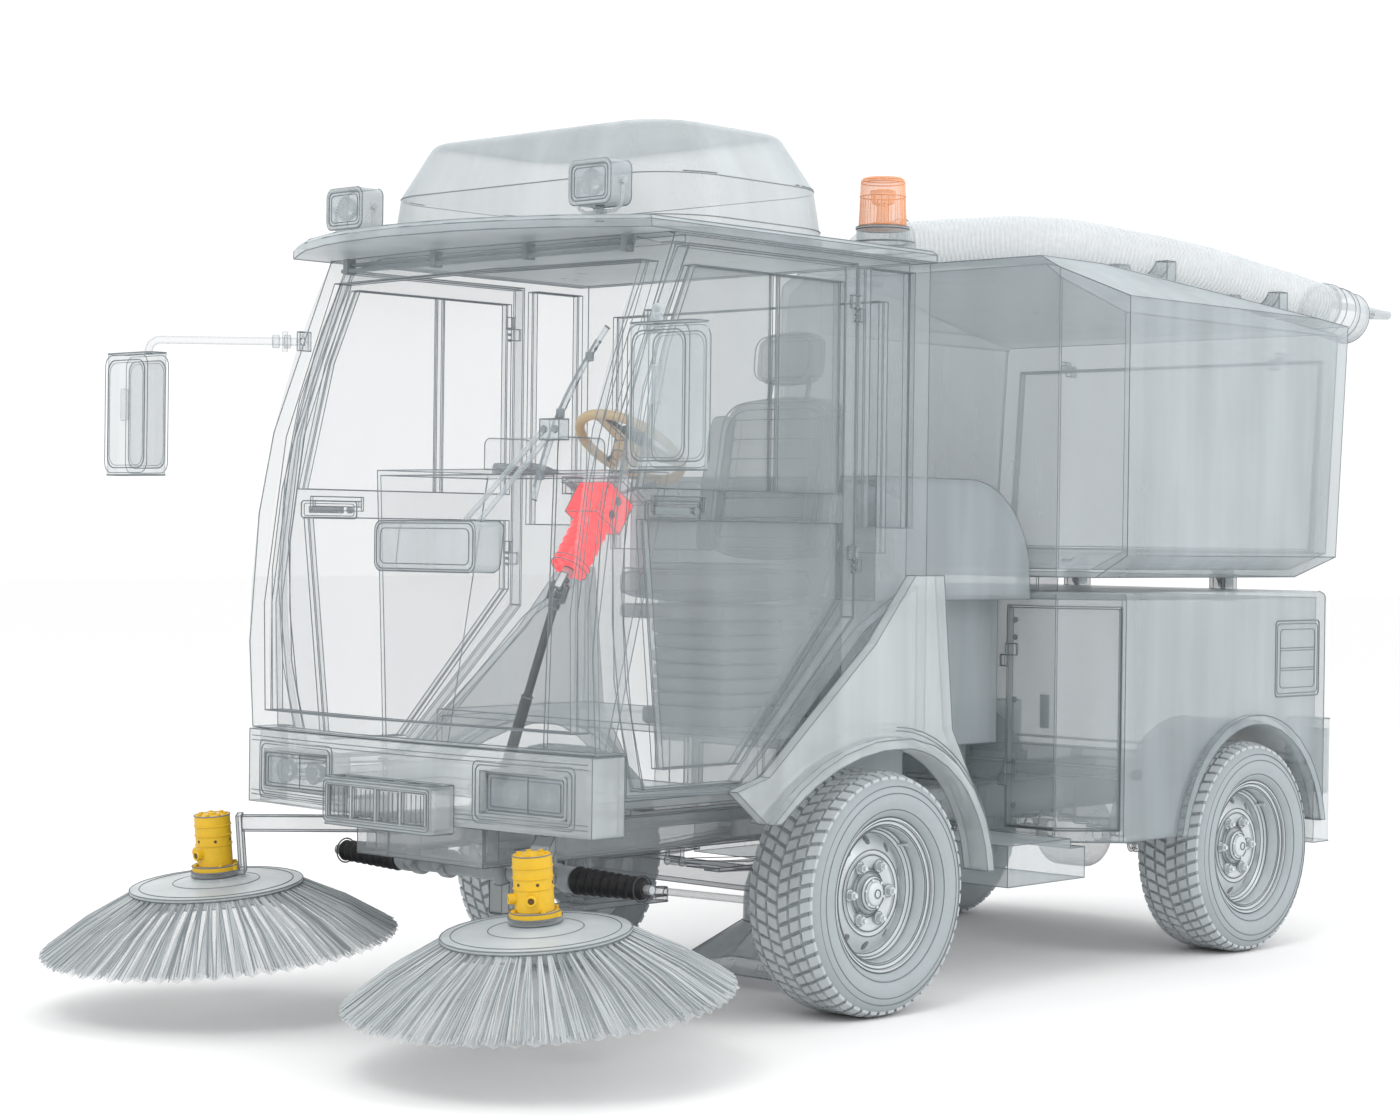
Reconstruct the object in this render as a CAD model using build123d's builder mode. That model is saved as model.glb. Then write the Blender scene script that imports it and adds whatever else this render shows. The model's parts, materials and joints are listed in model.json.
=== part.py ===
"""Compact street sweeper with a cab, a tipping hopper and two side brushes.

Row frame: origin on the ground under the middle of the outer box, front towards -Y,
the vehicle's left side towards +X, +Z up. All lengths are in millimetres.
"""

import os
from math import acos, cos, degrees, radians, sin, sqrt, tan

from build123d import *

os.makedirs("parts", exist_ok=True)


def keep(piece, label):
    """Label one finished sub-part and write it."""
    piece.part.label = label
    export_step(piece.part, f"parts/{label}.step")


# Driving dimensions
wheelbase = 1827
front_axle_y = -560
rear_axle_y = front_axle_y + wheelbase
tyre_r = 334
tyre_width = 250
tyre_face_x = 707
wheel_x = tyre_face_x - tyre_width / 2
cab_half = 668
cab_rear_y = -385
body_half = 701
body_front_y = 384
body_rear_y = 1672
gap = 6
seat_gap = 0.3
run_gap = 0.05
overrun = 40
sides = (("left", 1), ("right", -1))


def box_between(low, high, mode=Mode.ADD):
    """Add a box given by two opposite corners."""
    size = [high[i] - low[i] for i in range(3)]
    centre = [(high[i] + low[i]) / 2 for i in range(3)]
    with Locations(tuple(centre)):
        Box(*size, mode=mode)


def sided(side, low, high, mode=Mode.ADD):
    """Add a box on one side: the x values run outwards from the middle."""
    xs = sorted((side * low[0], side * high[0]))
    box_between((xs[0], low[1], low[2]), (xs[1], high[1], high[2]), mode)


def side_plane(x):
    """Plane across X with its own x along the row's Y and its own y along Z."""
    return Plane(origin=(x, 0, 0), x_dir=(0, 1, 0), z_dir=(1, 0, 0))


def hinge_half(x, y, reach, low, height, holds_pin):
    """Half of an upright hinge: a barrel and its leaf, with the pin or with the bore for it."""
    leaf = sorted((0, reach[0])), sorted((0, reach[1]))
    with BuildPart() as piece:
        with BuildSketch(Plane.XY.offset(low)):
            with Locations((x, y)):
                Circle(hinge_r)
            with Locations((x + sum(leaf[0]) / 2, y + sum(leaf[1]) / 2)):
                Rectangle(leaf[0][1] - leaf[0][0], leaf[1][1] - leaf[1][0])
            if not holds_pin:
                with Locations((x, y)):
                    Circle(hinge_pin_r + run_gap, mode=Mode.SUBTRACT)
        extrude(amount=height)
        if holds_pin:
            with BuildSketch(Plane.XY.offset(low + height)):
                with Locations((x, y)):
                    Circle(hinge_pin_r)
            extrude(amount=height)
    return piece.part


hinge_r = 5.6
hinge_pin_r = 3
hinge_height = 34

# Ladder frame
rail_x = 215
rail_width = 60
rail_height = 100
rail_wall = 6
rail_bottom = 450
rail_top = rail_bottom + rail_height
rail_front_y = -1580
rail_rear_y = 1640
rail_out = rail_x + rail_width / 2
cross_width = 60
cross_height = 60
relay_y = -1060
cross_places = (-1250, relay_y, cab_rear_y, 600, rear_axle_y, 1590)

# Brush arm pivots stand on outriggers of the frame
arm_pivot_x = 330
arm_pivot_y = -1500
arm_pin_r = 14
arm_boss_r = 28
outrigger_top = rail_bottom + 40
arm_boss_height = 40
arm_pin_top = outrigger_top + arm_boss_height + seat_gap

# Lashing eye under the rear cross member
lashing_y = 1620
lashing_z = 262
lashing_r = 27
lashing_bore_r = 17
lashing_thick = 20

with BuildPart() as frame:
    with BuildSketch(Plane.XZ.offset(-rail_rear_y)):
        with Locations((rail_x, rail_bottom + rail_height / 2), (-rail_x, rail_bottom + rail_height / 2)):
            Rectangle(rail_width, rail_height)
            Rectangle(rail_width - 2 * rail_wall, rail_height - 2 * rail_wall, mode=Mode.SUBTRACT)
    extrude(amount=rail_rear_y - rail_front_y)
    inner = rail_x - rail_width / 2
    for place in cross_places:
        box_between((-inner, place, rail_top - cross_height), (inner, place + cross_width, rail_top))
    box_between((-rail_out, rail_front_y - cross_width, rail_bottom), (rail_out, rail_front_y, rail_top))
    for name, side in sides:
        with BuildSketch(Plane.XY.offset(rail_bottom)):
            with BuildLine():
                Polyline(
                    (side * rail_out, arm_pivot_y - arm_boss_r),
                    (side * arm_pivot_x, arm_pivot_y - arm_boss_r),
                    (side * arm_pivot_x, arm_pivot_y + arm_boss_r),
                    (side * rail_out, arm_pivot_y + 3 * arm_boss_r),
                    close=True,
                )
            make_face()
            with Locations((side * arm_pivot_x, arm_pivot_y)):
                Circle(arm_boss_r)
        extrude(amount=outrigger_top - rail_bottom)
        with BuildSketch(Plane.XY.offset(outrigger_top)):
            with Locations((side * arm_pivot_x, arm_pivot_y)):
                Circle(arm_pin_r)
        extrude(amount=arm_pin_top - outrigger_top)
    relay_pin_r = 18
    relay_pin_bottom = 262
    relay_boss_top = rail_top - cross_height - rail_wall - seat_gap
    with BuildSketch(Plane.XY.offset(relay_pin_bottom)):
        with Locations((0, relay_y)):
            Circle(relay_pin_r)
    extrude(amount=relay_boss_top - relay_pin_bottom)
    relay_boss_bottom = 310
    with BuildSketch(Plane.XY.offset(relay_boss_bottom)):
        with Locations((0, relay_y)):
            Circle(2 * relay_pin_r)
    extrude(amount=relay_boss_top - relay_boss_bottom)
    box_between(
        (-2 * relay_pin_r, relay_y, rail_top - cross_height - rail_wall),
        (2 * relay_pin_r, relay_y + cross_width, rail_top),
    )
    with BuildSketch(Plane.YZ.offset(-lashing_thick / 2)):
        with Locations((lashing_y, lashing_z)):
            Circle(lashing_r)
        with Locations((lashing_y, (lashing_z + rail_top - cross_height) / 2)):
            Rectangle(2 * lashing_r, rail_top - cross_height - lashing_z)
        with Locations((lashing_y, lashing_z)):
            Circle(lashing_bore_r, mode=Mode.SUBTRACT)
    extrude(amount=lashing_thick)
keep(frame, "chassis_frame")

# Axles, kingpins and leaf springs
axle_z = tyre_r
kingpin_x = 500
kingpin_r = 14
eye_r = 28
eye_height = 90
beam_height = 60
beam_depth = 76
beam_end_x = kingpin_x - 60
spring_half = 340
spring_width = 56
leaf_thick = 9
leaf_shares = (1.0, 0.78, 0.56)
pack_thick = leaf_thick * len(leaf_shares)
spring_seat_z = axle_z + beam_height / 2
spring_rise = 26
spring_eye_r = 13

with BuildPart() as front_axle:
    box_between(
        (-beam_end_x, front_axle_y - beam_depth / 2, axle_z - beam_height / 2),
        (beam_end_x, front_axle_y + beam_depth / 2, axle_z + beam_height / 2),
    )
    for name, side in sides:
        sided(
            side,
            (beam_end_x, front_axle_y - eye_r, axle_z - beam_height / 2),
            (kingpin_x, front_axle_y + eye_r, axle_z + beam_height / 2),
        )
        with BuildSketch(Plane.XY.offset(axle_z - eye_height / 2)):
            with Locations((side * kingpin_x, front_axle_y)):
                Circle(eye_r)
        extrude(amount=eye_height)
        with BuildSketch(Plane.XY.offset(axle_z - eye_height / 2)):
            with Locations((side * kingpin_x, front_axle_y)):
                Circle(kingpin_r + run_gap)
        extrude(amount=eye_height, mode=Mode.SUBTRACT)

axle_tube_r = 29
diff_r = 118
diff_half = 95
hub_face_x = wheel_x - 22
spindle_r = 25
rear_flange_r = 60
flange_thick = 14
with BuildPart() as rear_axle:
    with BuildSketch(Plane.YZ.offset(-hub_face_x)):
        with Locations((rear_axle_y, axle_z)):
            Circle(axle_tube_r)
    extrude(amount=2 * hub_face_x)
    with BuildSketch(Plane.YZ.offset(-diff_half)):
        with Locations((rear_axle_y, axle_z)):
            Circle(diff_r)
    extrude(amount=2 * diff_half)
    fillet(rear_axle.edges().filter_by(GeomType.CIRCLE).group_by(SortBy.RADIUS)[-1], diff_half / 2)
    for name, side in sides:
        with BuildSketch(Plane.YZ.offset(side * (hub_face_x - flange_thick))):
            with Locations((rear_axle_y, axle_z)):
                Circle(rear_flange_r)
        extrude(amount=side * flange_thick)
        with BuildSketch(Plane.YZ.offset(side * hub_face_x)):
            with Locations((rear_axle_y, axle_z)):
                Circle(spindle_r)
        extrude(amount=side * (wheel_x + flange_thick - hub_face_x))
        sided(
            side,
            (rail_x - spring_width / 2, rear_axle_y - rear_flange_r, axle_z),
            (rail_x + spring_width / 2, rear_axle_y + rear_flange_r, spring_seat_z),
        )

with BuildPart() as axles:
    add(front_axle.part)
    add(rear_axle.part)
keep(axles, "axles")

with BuildPart() as springs:
    for axle_y in (front_axle_y, rear_axle_y):
        for name, side in sides:
            start_x = side * rail_x - spring_width / 2
            with BuildSketch(side_plane(start_x)):
                for number, share in enumerate(leaf_shares):
                    low = spring_seat_z + (len(leaf_shares) - 1 - number) * leaf_thick
                    reach = spring_half * share
                    lift = spring_rise * share * share
                    with BuildLine():
                        bottom = ThreePointArc(
                            (axle_y - reach, low + lift), (axle_y, low), (axle_y + reach, low + lift)
                        )
                        top = ThreePointArc(
                            (axle_y - reach, low + lift + leaf_thick),
                            (axle_y, low + leaf_thick),
                            (axle_y + reach, low + lift + leaf_thick),
                        )
                        Line(bottom @ 0, top @ 0)
                        Line(bottom @ 1, top @ 1)
                    make_face()
                eye_z = spring_seat_z + pack_thick + spring_rise - leaf_thick / 2
                for end in (-1, 1):
                    with Locations((axle_y + end * spring_half, eye_z)):
                        Circle(spring_eye_r)
                    with Locations((axle_y + end * spring_half, (eye_z + rail_bottom) / 2)):
                        Rectangle(spring_eye_r, rail_bottom - eye_z)
            extrude(amount=spring_width)
keep(springs, "leaf_springs")

# Wheels: steel rims with a dished disc, and their tyres
rim_half = 100
rim_flange_r = 212
bead_r = 190
drop_r = 172
rim_wall = 7
disc_out = 46
disc_in = 10
disc_r = 118
hub_r = 58
hub_out = 34
bolt_circle_r = 82
vent_r = 13
vent_count = 10
tyre_bulge_r = 262
crown_half = 96
shoulder_r = 322
tread_drop = 4
tyre_wall = 16


def wheel_plane(side, axle_y, x=wheel_x):
    """Plane through a wheel's middle, its own z along the axle and outwards."""
    return Plane(origin=(side * x, axle_y, axle_z), x_dir=(0, 0, 1), z_dir=(side, 0, 0))


def rim(plane):
    """One steel wheel: rim barrel, dished disc with vents and a hub."""
    with BuildPart() as piece:
        section = Plane(origin=plane.origin, x_dir=plane.z_dir, z_dir=plane.z_dir.cross(plane.x_dir))
        barrel = (
            (-rim_half, rim_flange_r),
            (-rim_half + rim_wall, rim_flange_r),
            (-rim_half + 2 * rim_wall, bead_r),
            (-rim_half / 2, bead_r),
            (-rim_half / 3, drop_r),
            (rim_half / 3, drop_r),
            (rim_half / 2, bead_r),
            (rim_half - 2 * rim_wall, bead_r),
            (rim_half - rim_wall, rim_flange_r),
            (rim_half, rim_flange_r),
        )
        under = [(along, radius - rim_wall) for along, radius in reversed(barrel)]
        disc = (
            (0, drop_r),
            (disc_in, drop_r),
            (disc_out, disc_r),
            (disc_out - rim_wall, bolt_circle_r + rim_wall),
            (hub_out - rim_wall, hub_r),
            (hub_out + rim_wall, hub_r - rim_wall),
            (hub_out + rim_wall, spindle_r + 2 * rim_wall),
            (disc_out + rim_wall, spindle_r + rim_wall),
            (disc_out + rim_wall, 0),
            (hub_out, 0),
            (hub_out, spindle_r + run_gap),
            (hub_face_x - wheel_x + seat_gap, spindle_r + run_gap),
            (hub_face_x - wheel_x + seat_gap, hub_r),
            (0, hub_r),
            (disc_out - 2 * rim_wall, disc_r - rim_wall),
        )
        with BuildSketch(section):
            with BuildLine():
                Polyline(*barrel, *under, close=True)
            make_face()
            with BuildLine():
                Polyline(*disc, close=True)
            make_face()
        revolve(axis=Axis(plane.origin, plane.z_dir))
        with BuildSketch(plane.offset(disc_in - rim_wall)):
            with PolarLocations((disc_r + drop_r) / 2, vent_count):
                Circle(vent_r)
        extrude(amount=disc_out + overrun, mode=Mode.SUBTRACT)
    return piece


def tyre(plane):
    """One tyre: an open carcass seated on the rim's bead seats."""
    with BuildPart() as piece:
        section = Plane(origin=plane.origin, x_dir=plane.z_dir, z_dir=plane.z_dir.cross(plane.x_dir))
        bead = rim_half - 2 * rim_wall
        half = tyre_width / 2
        with BuildSketch(section):
            with BuildLine():
                for end in (-1, 1):
                    Line((0, tyre_r), (end * crown_half / 2, tyre_r))
                    Line((end * crown_half / 2, tyre_r), (end * crown_half, tyre_r - tread_drop))
                    ThreePointArc(
                        (end * crown_half, tyre_r - tread_drop),
                        (end * (crown_half + half) / 2, (tyre_r + shoulder_r) / 2 - tread_drop),
                        (end * (half - tread_drop), shoulder_r - 3 * tread_drop),
                    )
                    ThreePointArc(
                        (end * (half - tread_drop), shoulder_r - 3 * tread_drop),
                        (end * half, tyre_bulge_r),
                        (end * rim_half, rim_flange_r + seat_gap),
                    )
                    Polyline(
                        (end * rim_half, rim_flange_r + seat_gap),
                        (end * (rim_half - rim_wall) - end * seat_gap, rim_flange_r + seat_gap),
                        (end * (bead - seat_gap), bead_r + seat_gap),
                        (end * (bead - tyre_wall), bead_r + seat_gap),
                        (end * (half - tyre_wall), tyre_bulge_r),
                        (end * (half - 2 * tyre_wall), tyre_r - 2 * tyre_wall),
                        (0, tyre_r - tyre_wall),
                    )
            make_face()
        revolve(axis=Axis(plane.origin, plane.z_dir))
    return piece


for end_name, axle_y in (("front", front_axle_y), ("rear", rear_axle_y)):
    for name, side in sides:
        keep(rim(wheel_plane(side, axle_y)), f"wheel_{end_name}_{name}")
        keep(tyre(wheel_plane(side, axle_y)), f"tyre_{end_name}_{name}")

# Steering knuckles: a fork on the kingpin, the spindle and a steering arm
fork_thick = 20
fork_gap = 0.5
fork_half = 26
fork_back_x = 536
fork_top = axle_z + eye_height / 2 + fork_gap
fork_bottom = axle_z - eye_height / 2 - fork_gap
arm_tip_in = 75
arm_tip_ahead = 150
arm_tip_r = 16
tip_x = kingpin_x - arm_tip_in
tip_y = front_axle_y - arm_tip_ahead

for name, side in sides:
    with BuildPart() as knuckle:
        for low in (fork_bottom - fork_thick, fork_top):
            sided(
                side,
                (kingpin_x, front_axle_y - fork_half, low),
                (hub_face_x, front_axle_y + fork_half, low + fork_thick),
            )
            with BuildSketch(Plane.XY.offset(low)):
                with Locations((side * kingpin_x, front_axle_y)):
                    Circle(fork_half)
            extrude(amount=fork_thick)
        sided(
            side,
            (fork_back_x, front_axle_y - fork_half, fork_bottom - fork_thick),
            (hub_face_x, front_axle_y + fork_half, fork_top + fork_thick),
        )
        with BuildSketch(Plane.XY.offset(fork_bottom - fork_thick)):
            with Locations((side * kingpin_x, front_axle_y)):
                Circle(kingpin_r)
        extrude(amount=fork_top - fork_bottom + 2 * fork_thick)
        with BuildSketch(Plane.YZ.offset(side * hub_face_x)):
            with Locations((front_axle_y, axle_z)):
                Circle(spindle_r)
        extrude(amount=side * (wheel_x + flange_thick - hub_face_x))
        with BuildSketch(Plane.XY.offset(fork_bottom - fork_thick)) as arm:
            with BuildLine():
                Polyline(
                    (side * (kingpin_x - fork_half), front_axle_y),
                    (side * (tip_x - arm_tip_r), tip_y),
                    (side * (tip_x + arm_tip_r), tip_y),
                    (side * (kingpin_x + fork_half), front_axle_y),
                    close=True,
                )
            make_face()
            with Locations((side * tip_x, tip_y)):
                Circle(arm_tip_r)
        extrude(amount=fork_thick)
    keep(knuckle, f"knuckle_{name}")

# Steering linkage: relay lever on the frame, tie rods, rack and its housing
link_level = fork_bottom
link_gap = 0.3
lever_thick = 16
lever_rear_y = relay_y + 300
lever_front_y = relay_y - 300
lever_end_r = 20
lever_ball_x = 30
rod_r = 11
rod_eye_r = 19
rod_level = link_level + link_gap
rack_y = -1400
rack_z = 410
rack_r = 12
rack_half = 612
housing_half = 340
housing_r = 28
bellows_end = 590
takeoff_half = 24
rack_travel = 72

with BuildPart() as lever:
    with BuildSketch(Plane.XY.offset(link_level - lever_thick)):
        with BuildLine():
            Polyline(
                (-lever_end_r, lever_front_y),
                (-2 * relay_pin_r, relay_y),
                (-lever_ball_x - lever_end_r, lever_rear_y),
                (lever_ball_x + lever_end_r, lever_rear_y),
                (2 * relay_pin_r, relay_y),
                (lever_end_r, lever_front_y),
                close=True,
            )
        make_face()
        with Locations((0, lever_front_y)):
            Circle(lever_end_r)
        with Locations((-lever_ball_x, lever_rear_y), (lever_ball_x, lever_rear_y)):
            Circle(lever_end_r)
        with Locations((0, relay_y)):
            Circle(relay_pin_r + run_gap, mode=Mode.SUBTRACT)
    extrude(amount=lever_thick)
keep(lever, "relay_lever")

for name, side in sides:
    with BuildPart() as tie_rod:
        start = Vector(side * lever_ball_x, lever_rear_y, rod_level + rod_r)
        end = Vector(side * tip_x, tip_y, rod_level + rod_r)
        run = end - start
        with BuildSketch(Plane(origin=start, z_dir=run)):
            Circle(rod_r - link_gap)
        extrude(amount=run.length)
        with BuildSketch(Plane.XY.offset(rod_level)):
            with Locations((start.X, start.Y)):
                Circle(rod_eye_r - seat_gap)
            with Locations((end.X, end.Y)):
                Circle(rod_eye_r)
        extrude(amount=2 * rod_r)
    keep(tie_rod, f"tie_rod_{name}")

with BuildPart() as rack:
    with BuildSketch(Plane.YZ.offset(-rack_half)):
        with Locations((rack_y, rack_z)):
            Circle(rack_r)
    extrude(amount=2 * rack_half)
    box_between(
        (-takeoff_half, rack_y, rack_z - rack_r),
        (takeoff_half, lever_front_y + lever_end_r, rack_z + rack_r),
    )
    box_between(
        (-takeoff_half, rack_y + housing_r + gap, link_level + link_gap),
        (takeoff_half, lever_front_y + lever_end_r, rack_z),
    )
keep(rack, "steering_rack")

# Column axis, seen from the side: steering wheel, red unit and upper joint on one line
column_x = 334
wheel_centre_y = -1215
wheel_centre_z = 1531
column_lean = 34.5
column_reach = 445
column_up = Vector(0, sin(radians(column_lean)), cos(radians(column_lean)))
column_top = Vector(column_x, wheel_centre_y, wheel_centre_z)
upper_joint = column_top - column_up * column_reach
pinion_x = 80
pinion_r = 9.5
lower_joint = Vector(pinion_x, -1463, 545)
pinion_foot = Vector(pinion_x, rack_y - rack_r - pinion_r, rack_z)
pinion_up = (lower_joint - pinion_foot).normalized()
shaft_up = (upper_joint - lower_joint).normalized()
joint_ball_r = 10
ear_half = 9
ear_in = 15
ear_out = 23
ear_tip = 10
yoke_neck = 27
yoke_r = 15
yoke_length = 28
stub_gap = 0.6
shaft_r = 11
sleeve_r = 15
pinion_shaft_r = 9
tower_r = 24
tower_length = 84


def fork(centre, away, across, carries_ball):
    """One half of a universal joint: neck, two ears and the cross pins they carry."""
    plane = Plane(origin=centre, x_dir=across, z_dir=away)
    pin_plane = Plane(origin=centre, x_dir=away, z_dir=across)
    pin_r = joint_ball_r / 2
    with BuildPart() as piece:
        with BuildSketch(plane.offset(yoke_neck)):
            Circle(yoke_r)
        extrude(amount=yoke_length)
        with BuildSketch(plane.offset(yoke_neck)):
            Rectangle(2 * ear_out, 2 * ear_half)
        extrude(amount=ear_out - ear_in)
        for end in (-1, 1):
            with BuildSketch(plane.offset(-ear_tip)):
                with Locations((end * (ear_in + ear_out) / 2, 0)):
                    Rectangle(ear_out - ear_in, 2 * ear_half)
            extrude(amount=yoke_neck + ear_tip)
        if carries_ball:
            with BuildSketch(pin_plane.offset(-ear_out)):
                Circle(pin_r)
            extrude(amount=2 * ear_out)
            with BuildSketch(pin_plane):
                with BuildLine():
                    Line((-joint_ball_r, 0), (joint_ball_r, 0))
                    ThreePointArc((-joint_ball_r, 0), (0, joint_ball_r), (joint_ball_r, 0))
                make_face()
            revolve(axis=Axis(centre, away))
        else:
            for end in (-1, 1):
                with BuildSketch(pin_plane.offset(end * (joint_ball_r + stub_gap))):
                    Circle(pin_r)
                extrude(amount=end * (ear_out - joint_ball_r - stub_gap))
    return piece.part


joint_across = shaft_up.cross(column_up).normalized()
lower_across = shaft_up.cross(pinion_up).normalized()

# Steering wheel with its shaft through the steering unit
wheel_rim_r = 145
wheel_tube_r = 13
wheel_hub_r = 38
wheel_hub_height = 36
spoke_count = 3
spoke_width = 30
spoke_thick = 9
column_r = 12
wheel_seat = Plane(origin=column_top, x_dir=(1, 0, 0), z_dir=column_up)
with BuildPart() as handwheel:
    with BuildSketch(Plane(origin=column_top, x_dir=(1, 0, 0), z_dir=Vector(1, 0, 0).cross(column_up))):
        with Locations((wheel_rim_r, 0)):
            Circle(wheel_tube_r)
    revolve(axis=Axis(column_top, column_up))
    with BuildSketch(wheel_seat.offset(-wheel_hub_height)):
        Circle(wheel_hub_r)
    extrude(amount=wheel_hub_height)
    with BuildSketch(wheel_seat.offset(-spoke_thick / 2)):
        for number in range(spoke_count):
            with PolarLocations(wheel_rim_r / 2, 1, start_angle=-90 + number * 360 / spoke_count):
                Rectangle(wheel_rim_r, spoke_width)
    extrude(amount=spoke_thick)
keep(handwheel, "steering_wheel")

column_fork = fork(upper_joint, column_up, joint_across.cross(column_up), False)
with BuildPart() as column:
    with BuildSketch(Plane(origin=upper_joint, x_dir=(1, 0, 0), z_dir=column_up).offset(yoke_neck)):
        Circle(column_r)
    extrude(amount=column_reach - yoke_neck - wheel_hub_height)
    add(column_fork)
keep(column, "steering_column")

shaft_forks = (
    fork(upper_joint, shaft_up * -1, joint_across, True),
    fork(lower_joint, shaft_up, lower_across, True),
)
with BuildPart() as shaft:
    with BuildSketch(Plane(origin=lower_joint, z_dir=shaft_up).offset(yoke_neck)):
        Circle(shaft_r)
    extrude(amount=(upper_joint - lower_joint).length - 2 * yoke_neck)
    with BuildSketch(Plane(origin=lower_joint, z_dir=shaft_up).offset(yoke_neck)):
        Circle(sleeve_r)
    extrude(amount=(upper_joint - lower_joint).length / 2)
    add(shaft_forks)
keep(shaft, "steering_shaft")

pinion_fork = fork(lower_joint, pinion_up * -1, lower_across.cross(pinion_up), False)
with BuildPart() as pinion:
    with BuildSketch(Plane(origin=pinion_foot, z_dir=pinion_up)):
        Circle(pinion_shaft_r)
    extrude(amount=(lower_joint - pinion_foot).length - yoke_neck)
    add(pinion_fork)
keep(pinion, "steering_pinion")

with BuildPart() as rack_case:
    with BuildSketch(Plane.YZ.offset(-housing_half)):
        with Locations((rack_y, rack_z)):
            Circle(housing_r)
    extrude(amount=2 * housing_half)
    for name, side in sides:
        sided(
            side,
            (rail_x - rail_width / 2, rack_y - housing_r, rack_z),
            (rail_x + rail_width / 2, rack_y + housing_r, rail_bottom),
        )
    with BuildSketch(Plane(origin=pinion_foot, z_dir=pinion_up).offset(-housing_r)):
        Circle(tower_r)
    extrude(amount=tower_length)
    with BuildSketch(Plane.YZ.offset(-housing_half)):
        with Locations((rack_y, rack_z)):
            Circle(rack_r + run_gap)
    extrude(amount=2 * housing_half, mode=Mode.SUBTRACT)
    with BuildSketch(Plane(origin=pinion_foot, z_dir=pinion_up).offset(-rack_r - run_gap)):
        Circle(pinion_shaft_r + run_gap)
    extrude(amount=tower_length + overrun, mode=Mode.SUBTRACT)
    box_between(
        (-takeoff_half - rack_travel - gap, rack_y, rack_z - rack_r - gap),
        (takeoff_half + rack_travel + gap, rack_y + 2 * housing_r, rack_z + rack_r + gap),
        Mode.SUBTRACT,
    )
keep(rack_case, "rack_housing")

fold_count = 9
fold_r = 37
valley_r = 29
with BuildPart() as bellows:
    for name, side in sides:
        fold = (bellows_end - housing_half) / fold_count
        outline = [(side * housing_half, rack_r + gap), (side * housing_half, valley_r)]
        for number in range(fold_count):
            outline.append((side * (housing_half + fold * (number + 0.5)), fold_r - number))
            outline.append((side * (housing_half + fold * (number + 1)), valley_r - number))
        outline.append((side * bellows_end, rack_r + seat_gap))
        outline.append((side * (bellows_end - fold), rack_r + seat_gap))
        outline.append((side * (bellows_end - fold), rack_r + gap))
        with BuildSketch(Plane(origin=(0, rack_y, rack_z), x_dir=(1, 0, 0), z_dir=(0, -1, 0))):
            with BuildLine():
                Polyline(*outline, close=True)
            make_face()
        revolve(axis=Axis((0, rack_y, rack_z), (1, 0, 0)))
keep(bellows, "rack_bellows")

# Steering unit: port block, cylinder and end cap around the column
unit_top = 150
block_length = 92
block_width = 112
block_depth = 104
unit_r = 47
unit_length = 128
cap_r = 50
cap_length = 16
port_r = 9
port_small_r = 5
port_depth = 14
port_dx = 26
port_dz = 22
unit_plane = Plane(origin=column_top - column_up * unit_top, x_dir=(1, 0, 0), z_dir=column_up * -1)
with BuildPart() as unit:
    with BuildSketch(unit_plane):
        Rectangle(block_width, block_depth)
    extrude(amount=block_length)
    with BuildSketch(unit_plane.offset(block_length)):
        Circle(unit_r)
    extrude(amount=unit_length)
    with BuildSketch(unit_plane.offset(block_length + unit_length)):
        Circle(cap_r)
    extrude(amount=cap_length)
    port_face = Plane(
        origin=unit_plane.origin
        - unit_plane.y_dir * (block_depth / 2)
        + unit_plane.z_dir * (block_length / 2),
        x_dir=(1, 0, 0),
        z_dir=unit_plane.y_dir * -1,
    )
    with BuildSketch(port_face):
        with GridLocations(2 * port_dx, 2 * port_dz, 2, 2):
            Circle(port_r)
        with GridLocations(0, port_dz, 1, 2):
            Circle(port_small_r)
    extrude(amount=-port_depth, mode=Mode.SUBTRACT)
    with BuildSketch(unit_plane):
        Circle(column_r + run_gap)
    extrude(amount=block_length + unit_length + cap_length, mode=Mode.SUBTRACT)
keep(unit, "steering_unit")

# Engine block and the cover behind the cab
engine_half = 250
engine_front_y = -340
engine_rear_y = 40
engine_top = 1030
with BuildPart() as engine:
    box_between(
        (-engine_half, engine_front_y, rail_top), (engine_half, engine_rear_y, engine_top)
    )
keep(engine, "engine_block")

cover_half = 480
cover_low_half = 360
cover_step_z = 1125
cover_wall = 12
cover_bottom = 690
cover_top = 1476
cover_rear_y = body_front_y - 34
cover_round = 300
duct_r = 88
duct_wall = 4
duct_x = 0
duct_z = 1390
duct_rise_y = 190
cover_front_y = cab_rear_y + gap


def cover_outline(inset):
    """Side outline of the engine cover: square at the front, rounded down at the rear."""
    front = cover_front_y + inset
    rear = cover_rear_y - inset
    top = cover_top - inset
    round_r = cover_round - inset
    with BuildSketch(side_plane(-cover_half + inset)) as outline:
        with BuildLine():
            Line((front, cover_bottom), (front, top))
            Line((front, top), (rear - round_r, top))
            ThreePointArc(
                (rear - round_r, top),
                (rear - round_r + round_r * sin(radians(45)), top - round_r + round_r * cos(radians(45))),
                (rear, top - round_r),
            )
            Line((rear, top - round_r), (rear, cover_bottom))
            Line((rear, cover_bottom), (front, cover_bottom))
        make_face()
    return outline.sketch


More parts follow.
